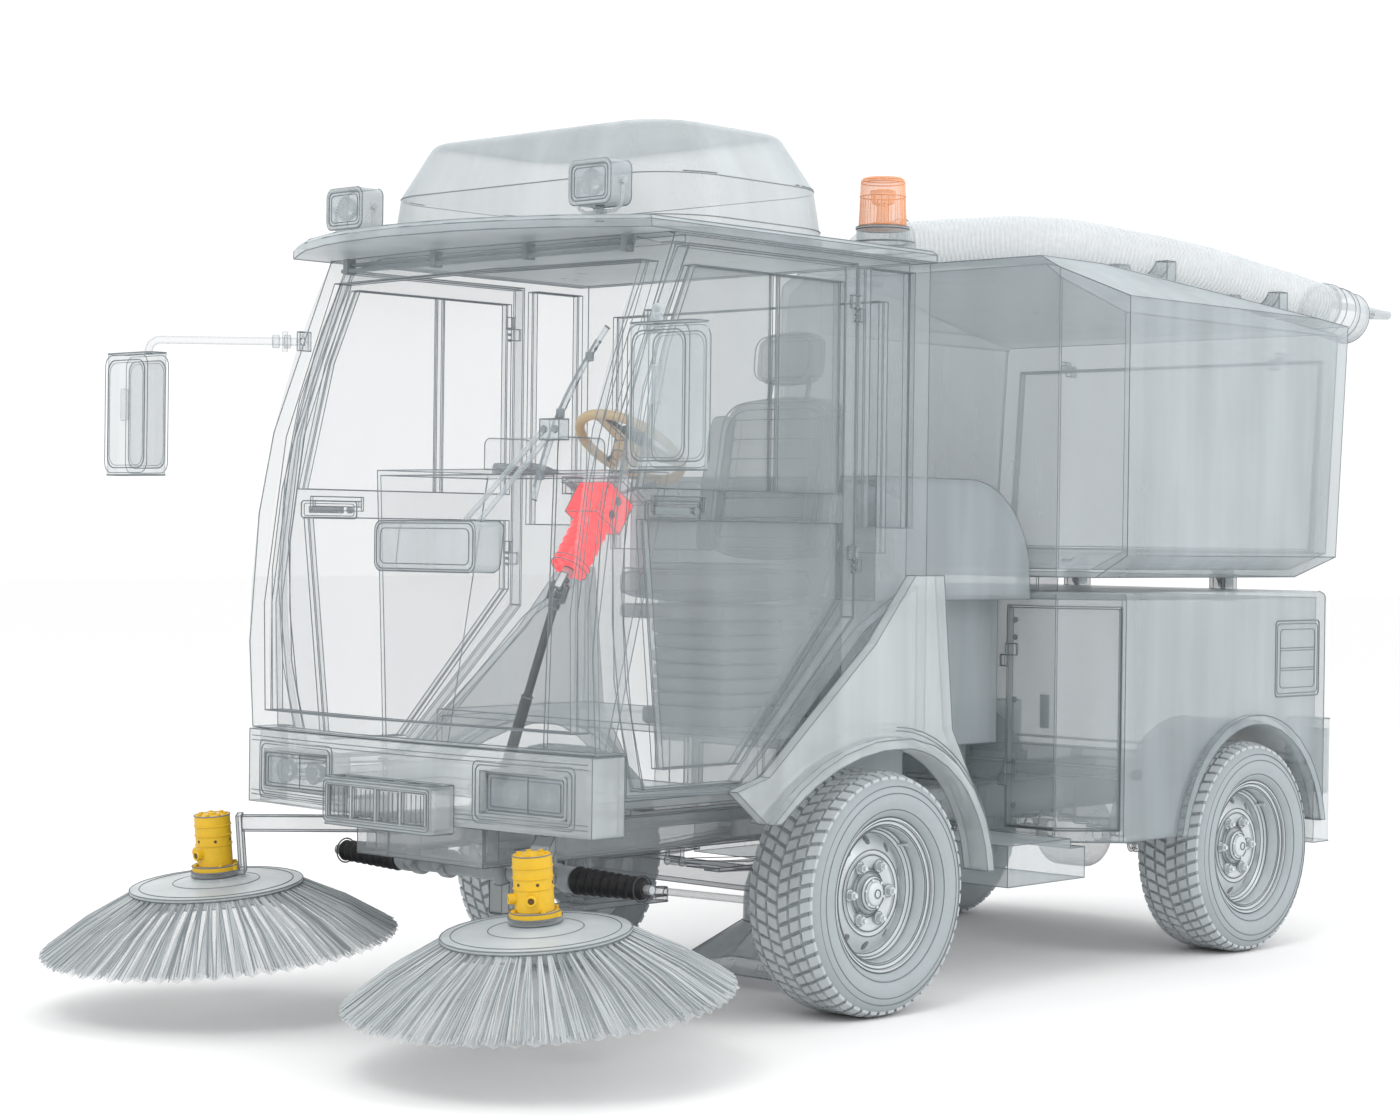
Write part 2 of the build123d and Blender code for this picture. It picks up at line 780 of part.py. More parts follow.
cover_outer = cover_outline(0)
cover_inner = cover_outline(cover_wall)
with BuildPart() as cover:
    extrude(cover_outer, amount=2 * cover_half)
    for name, side in sides:
        sided(
            side,
            (cover_low_half, cover_front_y - overrun, cover_bottom - overrun),
            (cover_half + overrun, cover_rear_y + overrun, cover_step_z),
            Mode.SUBTRACT,
        )
    extrude(cover_inner, amount=2 * (cover_half - cover_wall), mode=Mode.SUBTRACT)
    for name, side in sides:
        sided(
            side,
            (cover_low_half - cover_wall, cover_front_y + cover_wall / 2, cover_step_z),
            (cover_half - cover_wall / 2, cover_rear_y - cover_wall / 2, cover_step_z + cover_wall),
        )
        sided(
            side,
            (cover_low_half - cover_wall, cover_front_y, cover_bottom),
            (cover_low_half, cover_rear_y, cover_step_z + cover_wall / 2),
        )
        for low, high in (
            (cover_front_y, cover_front_y + overrun - 2 * cover_wall),
            (cover_rear_y - overrun, cover_rear_y),
        ):
            sided(
                side,
                (rail_x - rail_width / 2, low, rail_top),
                (rail_x + rail_width / 2, high, cover_bottom + overrun),
            )
    box_between(
        (-cover_low_half + cover_wall, cover_front_y + overrun, cover_bottom - overrun),
        (cover_low_half - cover_wall, cover_rear_y - overrun, cover_bottom + cover_wall),
        Mode.SUBTRACT,
    )
    with BuildSketch(Plane.XZ.offset(-cover_rear_y - overrun)):
        with Locations((duct_x, duct_z)):
            Circle(duct_r + gap)
    extrude(amount=cover_wall + cover_round + overrun, mode=Mode.SUBTRACT)
keep(cover, "engine_cover")

# Suction mouth behind the front wheels and its duct up to the hopper
mouth_half = 240
mouth_front_y = -440
mouth_rear_y = -170
mouth_bottom = 30
mouth_top = 170
mouth_wall = 8
mouth_neck_y = -250
with BuildPart() as mouth:
    with BuildSketch(Plane.XY.offset(mouth_bottom)):
        with Locations((0, (mouth_front_y + mouth_rear_y) / 2)):
            Rectangle(2 * mouth_half, mouth_rear_y - mouth_front_y)
    with BuildSketch(Plane.XY.offset(mouth_top)):
        with Locations((0, mouth_neck_y)):
            Circle(duct_r)
    loft()
    with BuildSketch(Plane.XY.offset(mouth_bottom)):
        with Locations((0, (mouth_front_y + mouth_rear_y) / 2)):
            Rectangle(2 * (mouth_half - mouth_wall), mouth_rear_y - mouth_front_y - 2 * mouth_wall)
    with BuildSketch(Plane.XY.offset(mouth_top)):
        with Locations((0, mouth_neck_y)):
            Circle(duct_r - duct_wall)
    loft(mode=Mode.SUBTRACT)

duct_bend = 120
with BuildPart() as duct:
    with BuildLine():
        FilletPolyline(
            (duct_x, mouth_neck_y, mouth_top),
            (duct_x, mouth_neck_y, mouth_top + duct_bend),
            (duct_x, duct_rise_y, mouth_top + 3 * duct_bend),
            (duct_x, duct_rise_y, duct_z),
            (duct_x, body_front_y - gap, duct_z),
            radius=duct_bend,
        )
    with BuildSketch(Plane.XY.offset(mouth_top)):
        with Locations((duct_x, mouth_neck_y)):
            Circle(duct_r)
            Circle(duct_r - duct_wall, mode=Mode.SUBTRACT)
    sweep()
    add(mouth.part)
    for name, side in sides:
        sided(
            side,
            (duct_r - duct_wall / 2, duct_rise_y - 6 * gap, rail_top - 6 * gap),
            (rail_x - rail_width / 2, duct_rise_y - gap, rail_top - 2 * gap),
        )
keep(duct, "suction_duct")

# Cab: floor, ring of pillars, roof, glass
floor_thick = 20
floor_z = 640
platform_z = 790
riser_y = -985
cab_front_y = -1662
skin = 40
inner_half = cab_half - skin - gap / 2
shaft_hole_r = 60
with BuildPart() as cab_floor:
    with BuildSketch(side_plane(-inner_half)):
        with BuildLine():
            Polyline(
                (cab_front_y + 2 * skin, floor_z - floor_thick),
                (riser_y - floor_thick, floor_z - floor_thick),
                (riser_y - floor_thick, platform_z - floor_thick),
                (riser_y, platform_z - floor_thick),
                (cab_rear_y - skin - seat_gap, platform_z - floor_thick),
                (cab_rear_y - skin - seat_gap, platform_z),
                (riser_y - floor_thick, platform_z),
                (riser_y - 2 * floor_thick, platform_z),
                (riser_y - 2 * floor_thick, floor_z),
                (cab_front_y + 2 * skin, floor_z),
                close=True,
            )
        make_face()
    extrude(amount=2 * inner_half)
    for name, side in sides:
        sided(
            side,
            (rail_x - rail_width / 2, riser_y - 3 * rail_width, rail_top),
            (rail_x + rail_width / 2, riser_y - 2 * rail_width, floor_z - floor_thick),
        )
        sided(
            side,
            (rail_x - rail_width / 2, cab_front_y + 2 * skin, rail_top),
            (rail_x + rail_width / 2, cab_front_y + 2 * skin + rail_width, floor_z - floor_thick),
        )
        sided(
            side,
            (rail_x - rail_width / 2, cab_rear_y - 2 * rail_width, rail_top),
            (rail_x + rail_width / 2, cab_rear_y - rail_width, platform_z - floor_thick),
        )
    with BuildSketch(Plane.XY.offset(floor_z - 2 * floor_thick)):
        with Locations((lower_joint.X, lower_joint.Y)):
            Circle(shaft_hole_r)
    extrude(amount=3 * floor_thick, mode=Mode.SUBTRACT)
keep(cab_floor, "cab_floor")

# The cab's front follows one upright curve, bulged a little in plan as well
sill_z = 763
cab_top = 2060
front_mid_y = -1640
front_mid_z = 1400
front_top_y = -1405
plan_r = 4500
plan_bulge = cab_half * cab_half / (2 * plan_r)
plan_centre_y = cab_front_y - plan_bulge + plan_r
plan_angle = 2 * degrees(cab_half / plan_r) + 2
glass_half = 596
glass_thick = 6
glass_low = 812
glass_high = 1990
ring_thick = 60


def curve_y(places, z):
    """Y at a height on the smooth curve through three (y, z) places."""
    total = 0
    for i in range(3):
        share = 1
        for j in range(3):
            if j != i:
                share *= (z - places[j][1]) / (places[i][1] - places[j][1])
        total += places[i][0] * share
    return total


def front_arc_y(inset, z):
    """Place of the front curve at a height, moved inwards by an inset."""
    return curve_y(((cab_front_y, sill_z), (front_mid_y, front_mid_z), (front_top_y, cab_top)), z) + inset


def front_band(outer, inner, low, high):
    """Solid band of the front curve between two insets and two heights, curved in plan."""
    middle = (low + high) / 2
    with BuildPart() as band:
        with BuildSketch(side_plane(0)):
            with BuildLine():
                Line((front_arc_y(outer, low) - plan_bulge, low), (front_arc_y(inner, low) - plan_bulge, low))
                ThreePointArc(
                    (front_arc_y(inner, low) - plan_bulge, low),
                    (front_arc_y(inner, middle) - plan_bulge, middle),
                    (front_arc_y(inner, high) - plan_bulge, high),
                )
                Line(
                    (front_arc_y(inner, high) - plan_bulge, high),
                    (front_arc_y(outer, high) - plan_bulge, high),
                )
                ThreePointArc(
                    (front_arc_y(outer, high) - plan_bulge, high),
                    (front_arc_y(outer, middle) - plan_bulge, middle),
                    (front_arc_y(outer, low) - plan_bulge, low),
                )
            make_face()
        revolve(
            axis=Axis((0, plan_centre_y, 0), (0, 0, 1)),
            revolution_arc=plan_angle,
        )
    return band.part.rotate(Axis((0, plan_centre_y, 0), (0, 0, 1)), -plan_angle / 2)


door_front_top_y = -1352
door_front_mid_y = -1560
door_front_low_y = -1492
door_low_z = 672
door_diag_y = -1142
door_rear_y = -700
door_rear_low_z = 1090
door_top_z = 2028
door_hinge_x = cab_half + gap
door_hinge_y = door_rear_y + gap
quarter_front_y = -640
quarter_rear_y = -450
quarter_low = 1330
window_margin = 62
belt_z = 1418
belt_height = 78


def door_outline(x, grow=0):
    """Side outline of a cab door, let out by a gap for its opening."""
    with BuildSketch(side_plane(x)) as outline:
        with BuildLine():
            ThreePointArc(
                (door_front_top_y - grow, door_top_z + grow),
                (door_front_mid_y - grow, front_mid_z),
                (door_front_low_y - grow, door_low_z - grow),
            )
            Polyline(
                (door_front_low_y - grow, door_low_z - grow),
                (door_diag_y + grow / 2, door_low_z - grow),
                (door_rear_y + grow, door_rear_low_z - grow / 2),
                (door_rear_y + grow, door_top_z + grow),
                (door_front_top_y - grow, door_top_z + grow),
            )
        make_face()
    return outline.sketch


bumper_rear_y = -1560
side_low_z = 655
side_diag_y = -1060
side_rear_low_z = 1190


cab_hinge_zs = (1210, 1880)


def side_panel(side):
    """One side of the cab with its door opening and quarter window."""
    x = side * (cab_half - skin) if side > 0 else -cab_half
    opening = door_outline(x - overrun, gap)
    with BuildPart() as panel:
        with BuildSketch(side_plane(x)):
            with BuildLine():
                ThreePointArc(
                    (front_arc_y(skin, cab_top), cab_top),
                    (front_arc_y(skin, front_mid_z), front_mid_z),
                    (front_arc_y(skin, sill_z), sill_z),
                )
                Polyline(
                    (front_arc_y(skin, sill_z), sill_z),
                    (bumper_rear_y + gap, sill_z),
                    (bumper_rear_y + gap, side_low_z),
                    (door_diag_y, side_low_z - 2 * gap),
                    (side_diag_y, side_low_z + window_margin / 2),
                    (door_rear_y + window_margin, door_rear_low_z - window_margin / 2),
                    (cab_rear_y, side_rear_low_z),
                    (cab_rear_y, cab_top),
                    (front_arc_y(skin, cab_top), cab_top),
                )
            make_face()
        extrude(amount=skin)
        extrude(opening, amount=skin + 2 * overrun, mode=Mode.SUBTRACT)
        box_between(
            (x - overrun, quarter_front_y, quarter_low),
            (x + skin + overrun, quarter_rear_y, door_top_z),
            Mode.SUBTRACT,
        )
    return panel.part


rear_glass_half = 520
rear_glass_low = 1260
rear_glass_high = 1960
front_ring = front_band(0, ring_thick, sill_z, cab_top)
side_panels = [side_panel(side) for name, side in sides]
shell_hinges = [
    hinge_half(side * door_hinge_x, door_hinge_y, (side * -gap, 4 * gap), z, hinge_height, True)
    for name, side in sides
    for z in cab_hinge_zs
]
with BuildPart() as cab_shell:
    add(front_ring)
    box_between(
        (-glass_half, cab_front_y - 4 * overrun, glass_low),
        (glass_half, front_top_y + 4 * overrun, glass_high),
        Mode.SUBTRACT,
    )
    for name, side in sides:
        sided(
            side,
            (cab_half, cab_front_y - 4 * overrun, sill_z - overrun),
            (cab_half + 4 * overrun, cab_rear_y, cab_top + overrun),
            Mode.SUBTRACT,
        )
    add(side_panels)
    box_between((-cab_half, cab_rear_y - skin, platform_z - floor_thick), (cab_half, cab_rear_y, cab_top))
    box_between(
        (-rear_glass_half, cab_rear_y - skin - overrun, rear_glass_low),
        (rear_glass_half, cab_rear_y + overrun, rear_glass_high),
        Mode.SUBTRACT,
    )
    for name, side in sides:
        sided(
            side,
            (cab_half - skin, front_top_y, cab_top - skin / 2),
            (cab_half, cab_rear_y, cab_top),
        )
    box_between(
        (-cab_half, front_arc_y(skin, cab_top), cab_top - skin / 2),
        (cab_half, front_top_y + 2 * skin, cab_top),
    )
    add(shell_hinges)
keep(cab_shell, "cab_shell")

# Cab doors hinge at their rear edge; each holds one framed pane
pane_low = belt_z
pane_margin = 46
door_frame_bar_y = -1010
door_bar = 26


def door_front_y(z):
    """Y of the door's front edge at a height."""
    low = (door_front_low_y, door_low_z)
    middle = (door_front_mid_y, front_mid_z)
    return curve_y((low, middle, (door_front_top_y, door_top_z)), z)


def pane_outline(x):
    """Side outline of a door's window."""
    top = door_top_z - pane_margin
    middle = (top + pane_low) / 2
    with BuildSketch(side_plane(x)) as outline:
        with BuildLine():
            ThreePointArc(
                (door_front_y(top) + pane_margin, top),
                (door_front_y(middle) + pane_margin, middle),
                (door_front_y(pane_low) + pane_margin, pane_low),
            )
            Polyline(
                (door_front_y(pane_low) + pane_margin, pane_low),
                (door_rear_y - pane_margin, pane_low),
                (door_rear_y - pane_margin, top),
                (door_front_y(top) + pane_margin, top),
            )
        make_face()
    return outline.sketch


def lower_pane_outline(x):
    """Side outline of the low window in a door."""
    with BuildSketch(side_plane(x)) as outline:
        with BuildLine():
            Polyline(
                (door_front_low_y + 1.5 * pane_margin, door_low_z + pane_margin),
                (door_diag_y, door_low_z + pane_margin),
                (door_rear_y - pane_margin, door_rear_low_z + pane_margin),
                (door_rear_y - pane_margin, belt_z - belt_height),
                (door_front_mid_y + 1.5 * pane_margin, belt_z - belt_height),
                close=True,
            )
        make_face()
    return outline.sketch


for name, side in sides:
    low_x = cab_half - skin if side > 0 else -cab_half
    solid_outline = door_outline(low_x)
    hole_outline = pane_outline(low_x - overrun)
    low_hole = lower_pane_outline(low_x - overrun)
    door_hinges = [
        hinge_half(
            side * door_hinge_x,
            door_hinge_y,
            (side * -gap, -5 * gap),
            z + hinge_height + seat_gap,
            hinge_height,
            False,
        )
        for z in cab_hinge_zs
    ]
    with BuildPart() as door:
        extrude(solid_outline, amount=skin)
        extrude(hole_outline, amount=skin + 2 * overrun, mode=Mode.SUBTRACT)
        extrude(low_hole, amount=skin + 2 * overrun, mode=Mode.SUBTRACT)
        sided(
            side,
            (cab_half - skin / 2 - glass_thick / 2, door_frame_bar_y - door_bar / 2, pane_low - gap),
            (
                cab_half - skin / 2 + glass_thick / 2 + gap,
                door_frame_bar_y + door_bar / 2,
                door_top_z - pane_margin + gap,
            ),
        )
        sided(
            side,
            (cab_half - skin / 4, door_front_mid_y + 2 * pane_margin, belt_z - 0.75 * belt_height),
            (cab_half + overrun, door_front_mid_y + 6 * pane_margin, belt_z - belt_height / 4),
            Mode.SUBTRACT,
        )
        sided(
            side,
            (cab_half - skin / 4, door_front_mid_y + 2.2 * pane_margin, belt_z - 0.6 * belt_height),
            (cab_half, door_front_mid_y + 5.8 * pane_margin, belt_z - 0.4 * belt_height),
        )
        add(door_hinges)
    keep(door, f"cab_door_{name}")
    glass_x = side * (cab_half - skin / 2) - glass_thick / 2
    upper = pane_outline(glass_x)
    lower = lower_pane_outline(glass_x)
    with BuildPart() as door_glass:
        extrude(upper, amount=glass_thick)
        extrude(lower, amount=glass_thick)
        sided(
            side,
            (cab_half - skin / 2 - glass_thick, door_frame_bar_y - door_bar / 2 - seat_gap, pane_low - overrun),
            (cab_half, door_frame_bar_y + door_bar / 2 + seat_gap, door_top_z),
            Mode.SUBTRACT,
        )
    keep(door_glass, f"door_glass_{name}")

windscreen = front_band(ring_thick / 3, ring_thick / 3 + glass_thick, glass_low, glass_high)
with BuildPart() as cab_glass:
    add(windscreen)
    for name, side in sides:
        sided(
            side,
            (glass_half - seat_gap, cab_front_y - 4 * overrun, sill_z),
            (cab_half + 4 * overrun, front_top_y + 4 * overrun, cab_top),
            Mode.SUBTRACT,
        )
    rear_mid = cab_rear_y - skin / 2
    box_between(
        (-rear_glass_half, rear_mid - glass_thick / 2, rear_glass_low),
        (rear_glass_half, rear_mid + glass_thick / 2, rear_glass_high),
    )
    for name, side in sides:
        mid = cab_half - skin / 2
        sided(
            side,
            (mid - glass_thick / 2, quarter_front_y, quarter_low),
            (mid + glass_thick / 2, quarter_rear_y, door_top_z),
        )
keep(cab_glass, "cab_glass")

# Roof with its visor, the air unit on it, lamps and beacon
roof_half = 695
roof_thick = 30
roof_front_y = -1516
visor_y = -1755
roof_top = cab_top + roof_thick
roof_rear_y = cab_rear_y - 4
with BuildPart() as roof:
    with BuildSketch(Plane.XY.offset(cab_top)):
        with BuildLine():
            ThreePointArc((-roof_half, roof_front_y), (0, visor_y), (roof_half, roof_front_y))
            Polyline(
                (roof_half, roof_front_y),
                (roof_half, roof_rear_y),
                (-roof_half, roof_rear_y),
                (-roof_half, roof_front_y),
            )
        make_face()
    extrude(amount=roof_thick)
    chamfer(roof.faces().sort_by(Axis.Z)[-1].edges(), roof_thick / 3)

unit_front_y = -1345
unit_rear_y = -640
unit_half = 600
unit_base = roof_top
unit_crown = 2383
air_levels = ((0.0, 1.0), (0.5, 0.96), (1.0, 0.80))
with BuildPart() as air_unit:
    for height_share, size_share in air_levels:
        with BuildSketch(Plane.XY.offset(unit_base + height_share * (unit_crown - unit_base))):
            with Locations((0, (unit_front_y + unit_rear_y) / 2)):
                RectangleRounded(
                    2 * unit_half * size_share,
                    (unit_rear_y - unit_front_y) * size_share,
                    unit_half / 3 * size_share,
                )
    loft(ruled=True)
    fillet(air_unit.faces().sort_by(Axis.Z)[-1].edges(), overrun)
keep(air_unit, "roof_air_unit")

lamp_x = 477
lamp_y = -1480
lamp_z = 2185
lamp_width = 150
lamp_height = 112
lamp_depth = 74
lamp_post_r = 11
head_lamp_in = 300
head_lamp_out = 590
head_lamp_low = 600
head_lamp_high = 706
bumper_wall = 22
bumper_low = 560
bumper_high = 757
bumper_corner_y = -1672
bumper_nose_y = -1712
lamp_pocket = 60
block_rear_y = 1736
tail_lamp_in = 590
tail_lamp_out = 675
tail_lamp_low = 480
tail_lamp_high = 690
with BuildPart() as lamps:
    for name, side in sides:
        with BuildSketch(Plane.XZ.offset(-lamp_y - lamp_depth / 2)):
            with Locations((side * lamp_x, lamp_z)):
                RectangleRounded(lamp_width, lamp_height, lamp_height / 5)
        extrude(amount=lamp_depth)
        with BuildSketch(Plane.XY.offset(roof_top)):
            with Locations((side * lamp_x, lamp_y)):
                Circle(lamp_post_r)
        extrude(amount=lamp_z - lamp_height / 2 - roof_top)
        sided(
            side,
            (head_lamp_in + seat_gap, bumper_corner_y - bumper_wall / 2, head_lamp_low + seat_gap),
            (
                head_lamp_out - seat_gap,
                bumper_corner_y - bumper_wall / 2 + lamp_pocket,
                head_lamp_high - seat_gap,
            ),
        )
        sided(
            side,
            (tail_lamp_in, block_rear_y, tail_lamp_low),
            (tail_lamp_out, block_rear_y + bumper_wall / 2, tail_lamp_high),
        )
keep(lamps, "lamps")

beacon_x = 572
beacon_y = -477
beacon_base_r = 88
beacon_step_r = 72
beacon_r = 66
beacon_base_height = 24
beacon_step_height = 36
beacon_top = 2292
with BuildPart() as cab_roof:
    add(roof.part)
    with BuildSketch(Plane.XY.offset(roof_top)):
        with Locations((beacon_x, beacon_y)):
            Circle(beacon_base_r)
    extrude(amount=beacon_base_height)
    with BuildSketch(Plane.XY.offset(roof_top + beacon_base_height)):
        with Locations((beacon_x, beacon_y)):
            Circle(beacon_step_r)
    extrude(amount=beacon_step_height)
keep(cab_roof, "cab_roof")
with BuildPart() as beacon:
    with BuildSketch(Plane.XY.offset(roof_top + beacon_base_height + beacon_step_height)):
        with Locations((beacon_x, beacon_y)):
            Circle(beacon_r)
    extrude(amount=beacon_top - roof_top - beacon_base_height - beacon_step_height, taper=2)
    fillet(beacon.faces().sort_by(Axis.Z)[-1].edges(), beacon_r / 5)
keep(beacon, "beacon_lens")

# Front bumper with lamp pockets and the slotted nose box
with BuildPart() as bumper:
    for wall, mode in ((0, Mode.ADD), (bumper_wall, Mode.SUBTRACT)):
        with BuildSketch(Plane.XY.offset(bumper_low)):
            with BuildLine():
                ThreePointArc(
                    (-cab_half + wall, bumper_corner_y + wall),
                    (0, bumper_nose_y + wall),
                    (cab_half - wall, bumper_corner_y + wall),
                )
                Polyline(
                    (cab_half - wall, bumper_corner_y + wall),
                    (cab_half - wall, bumper_rear_y + wall),
                    (-cab_half + wall, bumper_rear_y + wall),
                    (-cab_half + wall, bumper_corner_y + wall),
                )
            make_face()
        extrude(amount=bumper_high - bumper_low, mode=mode)
    for name, side in sides:
        sided(
            side,
            (head_lamp_in, bumper_nose_y - overrun, head_lamp_low),
            (head_lamp_out, bumper_corner_y + bumper_wall, head_lamp_high),
            Mode.SUBTRACT,
        )
    box_between(
        (-rail_out, rail_front_y - cross_width, bumper_low),
        (rail_out, rail_front_y - cross_width + bumper_wall, bumper_high - overrun),
        Mode.SUBTRACT,
    )
    for name, side in sides:
        sided(
            side,
            (rail_x - rail_width / 2, bumper_nose_y + bumper_wall / 2, bumper_low),
            (rail_x + rail_width / 2, rail_front_y - gap, bumper_low + overrun),
        )
        sided(
            side,
            (rail_x - rail_width / 2, rail_front_y - cross_width, rail_top),
            (rail_x + rail_width / 2, rail_front_y - gap, bumper_low + overrun),
        )

nose_half = 213
nose_front_y = -1790
nose_low = 541
nose_high = 663
nose_wall = 10
slot_count = 4
with BuildPart() as nose:
    back_y = bumper_nose_y - seat_gap
    box_between((-nose_half, nose_front_y, nose_low), (nose_half, back_y, nose_high))
    fillet(nose.edges().filter_by(Axis.Z).group_by(Axis.Y)[0], 2 * nose_wall)
    box_between(
        (-nose_half + nose_wall, nose_front_y + nose_wall, nose_low + nose_wall),
        (nose_half - nose_wall, back_y + overrun, nose_high - nose_wall),
        Mode.SUBTRACT,
    )
    pitch = 2 * (nose_half - 2 * nose_wall) / slot_count
    with BuildSketch(Plane.XZ.offset(-nose_front_y - nose_wall - overrun)):
        with Locations((0, (nose_low + nose_high) / 2)):
            with GridLocations(pitch, 0, slot_count, 1):
                Rectangle(pitch - nose_wall, (nose_high - nose_low) - 4 * nose_wall)
    extrude(amount=nose_wall + 2 * overrun, mode=Mode.SUBTRACT)
    with BuildSketch(Plane.XY.offset(nose_high - nose_wall - seat_gap)):
        with Locations((0, (nose_front_y + back_y) / 2)):
            with GridLocations(pitch, 0, slot_count, 1):
                Rectangle(pitch - nose_wall, back_y - nose_front_y - 4 * nose_wall)
    extrude(amount=nose_wall + overrun, mode=Mode.SUBTRACT)

with BuildPart() as front_bumper:
    add(bumper.part)
    add(nose.part)
keep(front_bumper, "front_bumper")

# Front fenders with their diagonal band up to the cab's rear
fender_thick = 32
lip_stand = 25
lip_width = 85
fender_out = cab_half + fender_thick
lip_out = fender_out + lip_stand
lip_in = lip_out - lip_width
arch_clear_r = 400
arch_front_y = -1040
arch_front_z = 560
arch_rear_z = 372
lip_thick = 28
fender_top_y = -470
fender_top_z = 1200
fender_rear_y = -345


def arch_curve(grow):
    """Front wheel arch from its rear foot over the wheel to its front foot."""
    radius = arch_clear_r + grow
    drop = arch_rear_z - axle_z
    foot = sqrt(radius * radius - drop * drop)
    crown = axle_z + radius
    lean = radians(45)
    ThreePointArc(
        (front_axle_y + foot, arch_rear_z),
        (front_axle_y + radius * sin(lean), axle_z + radius * cos(lean)),
        (front_axle_y, crown),
    )
    front = arch_front_y - grow
    low = arch_front_z
    reach = front_axle_y - front
    fall = crown - low
    big_r = (reach * reach + fall * fall) / (2 * fall)
    half_turn = acos((big_r - fall) / big_r) / 2
    ThreePointArc(
        (front_axle_y, crown),
        (front_axle_y - big_r * sin(half_turn), crown - big_r + big_r * cos(half_turn)),
        (front, low),
    )
    return front, front_axle_y + foot


with BuildPart() as fenders:
    for name, side in sides:
        low_x = side * cab_half if side > 0 else -fender_out
        with BuildSketch(side_plane(low_x)):
            with BuildLine():
                front, foot = arch_curve(0)
                Polyline(
                    (front, arch_front_z),
                    (front - lip_thick, arch_front_z),
                    (side_diag_y - 2 * window_margin, side_low_z - gap),
                    (side_diag_y, side_low_z + window_margin / 2 - gap),
                    (door_rear_y + window_margin, door_rear_low_z - 1.2 * window_margin),
                    (fender_top_y, fender_top_z),
                    (fender_rear_y, fender_top_z),
                    (fender_rear_y + 1.6 * lip_thick, axle_z + 1.1 * arch_clear_r),
                    (front_axle_y + 0.92 * arch_clear_r, axle_z + 0.66 * arch_clear_r),
                    (foot + lip_thick, arch_rear_z),
                    (foot, arch_rear_z),
                )
            make_face()
        extrude(amount=fender_out - cab_half)
        lip_x = side * lip_in if side > 0 else -lip_out
        with BuildSketch(side_plane(lip_x)):
            with BuildLine():
                front, foot = arch_curve(0)
                front_out, foot_out = arch_curve(lip_thick)
                Line((front, arch_front_z), (front_out, arch_front_z))
                Line((foot, arch_rear_z), (foot_out, arch_rear_z))
            make_face()
        extrude(amount=lip_out - lip_in)
keep(fenders, "front_fenders")

# The hopper tips about pins in lugs behind the lower body
hopper_low = 1192
tip_line_y = 1700
tip_line_z = 1172
tip_r = 22
tip_pin_r = 10
tip_lug = 30
tip_lug_x = 300
tip_plate = 14
tip_side_gap = 1
pad_x = 430

# Lower rear body: chamfered box with wheel wells, open below
body_low = 400
body_high = 1147
body_wall = 22
corner_cut = 150
well_r = 395
well_y = rear_axle_y - 32
well_in = 440
door_in_x = 378
door_z_low = 440
door_z_high = 1098
door_tip = corner_cut - 12


def body_plan(inset, z):
    """Plan of the rear body: square at the back, two cut corners in front."""
    cut = corner_cut - inset * (2 - sqrt(2))
    with BuildSketch(Plane.XY.offset(z)) as plan:
        with BuildLine():
            Polyline(
                (-body_half + inset, body_rear_y - inset),
                (-body_half + inset, body_front_y + inset + cut),
                (-body_half + inset + cut, body_front_y + inset),
                (body_half - inset - cut, body_front_y + inset),
                (body_half - inset, body_front_y + inset + cut),
                (body_half - inset, body_rear_y - inset),
                close=True,
            )
        make_face()
    return plan.sketch


def service_plan(side, grow, z):
    """Plan of a service door: the flat front panel and the cut corner as one piece."""
    start = door_in_x - grow
    end = door_tip + grow / sqrt(2)
    bend = body_half - corner_cut
    bend_in = bend - body_wall * tan(radians(22.5))
    slant = body_wall / sqrt(2)
    with BuildSketch(Plane.XY.offset(z)) as plan:
        with BuildLine():
            Polyline(
                (side * start, body_front_y),
                (side * bend, body_front_y),
                (side * (bend + end), body_front_y + end),
                (side * (bend + end - slant), body_front_y + end + slant),
                (side * bend_in, body_front_y + body_wall),
                (side * start, body_front_y + body_wall),
                close=True,
            )
        make_face()
    return plan.sketch


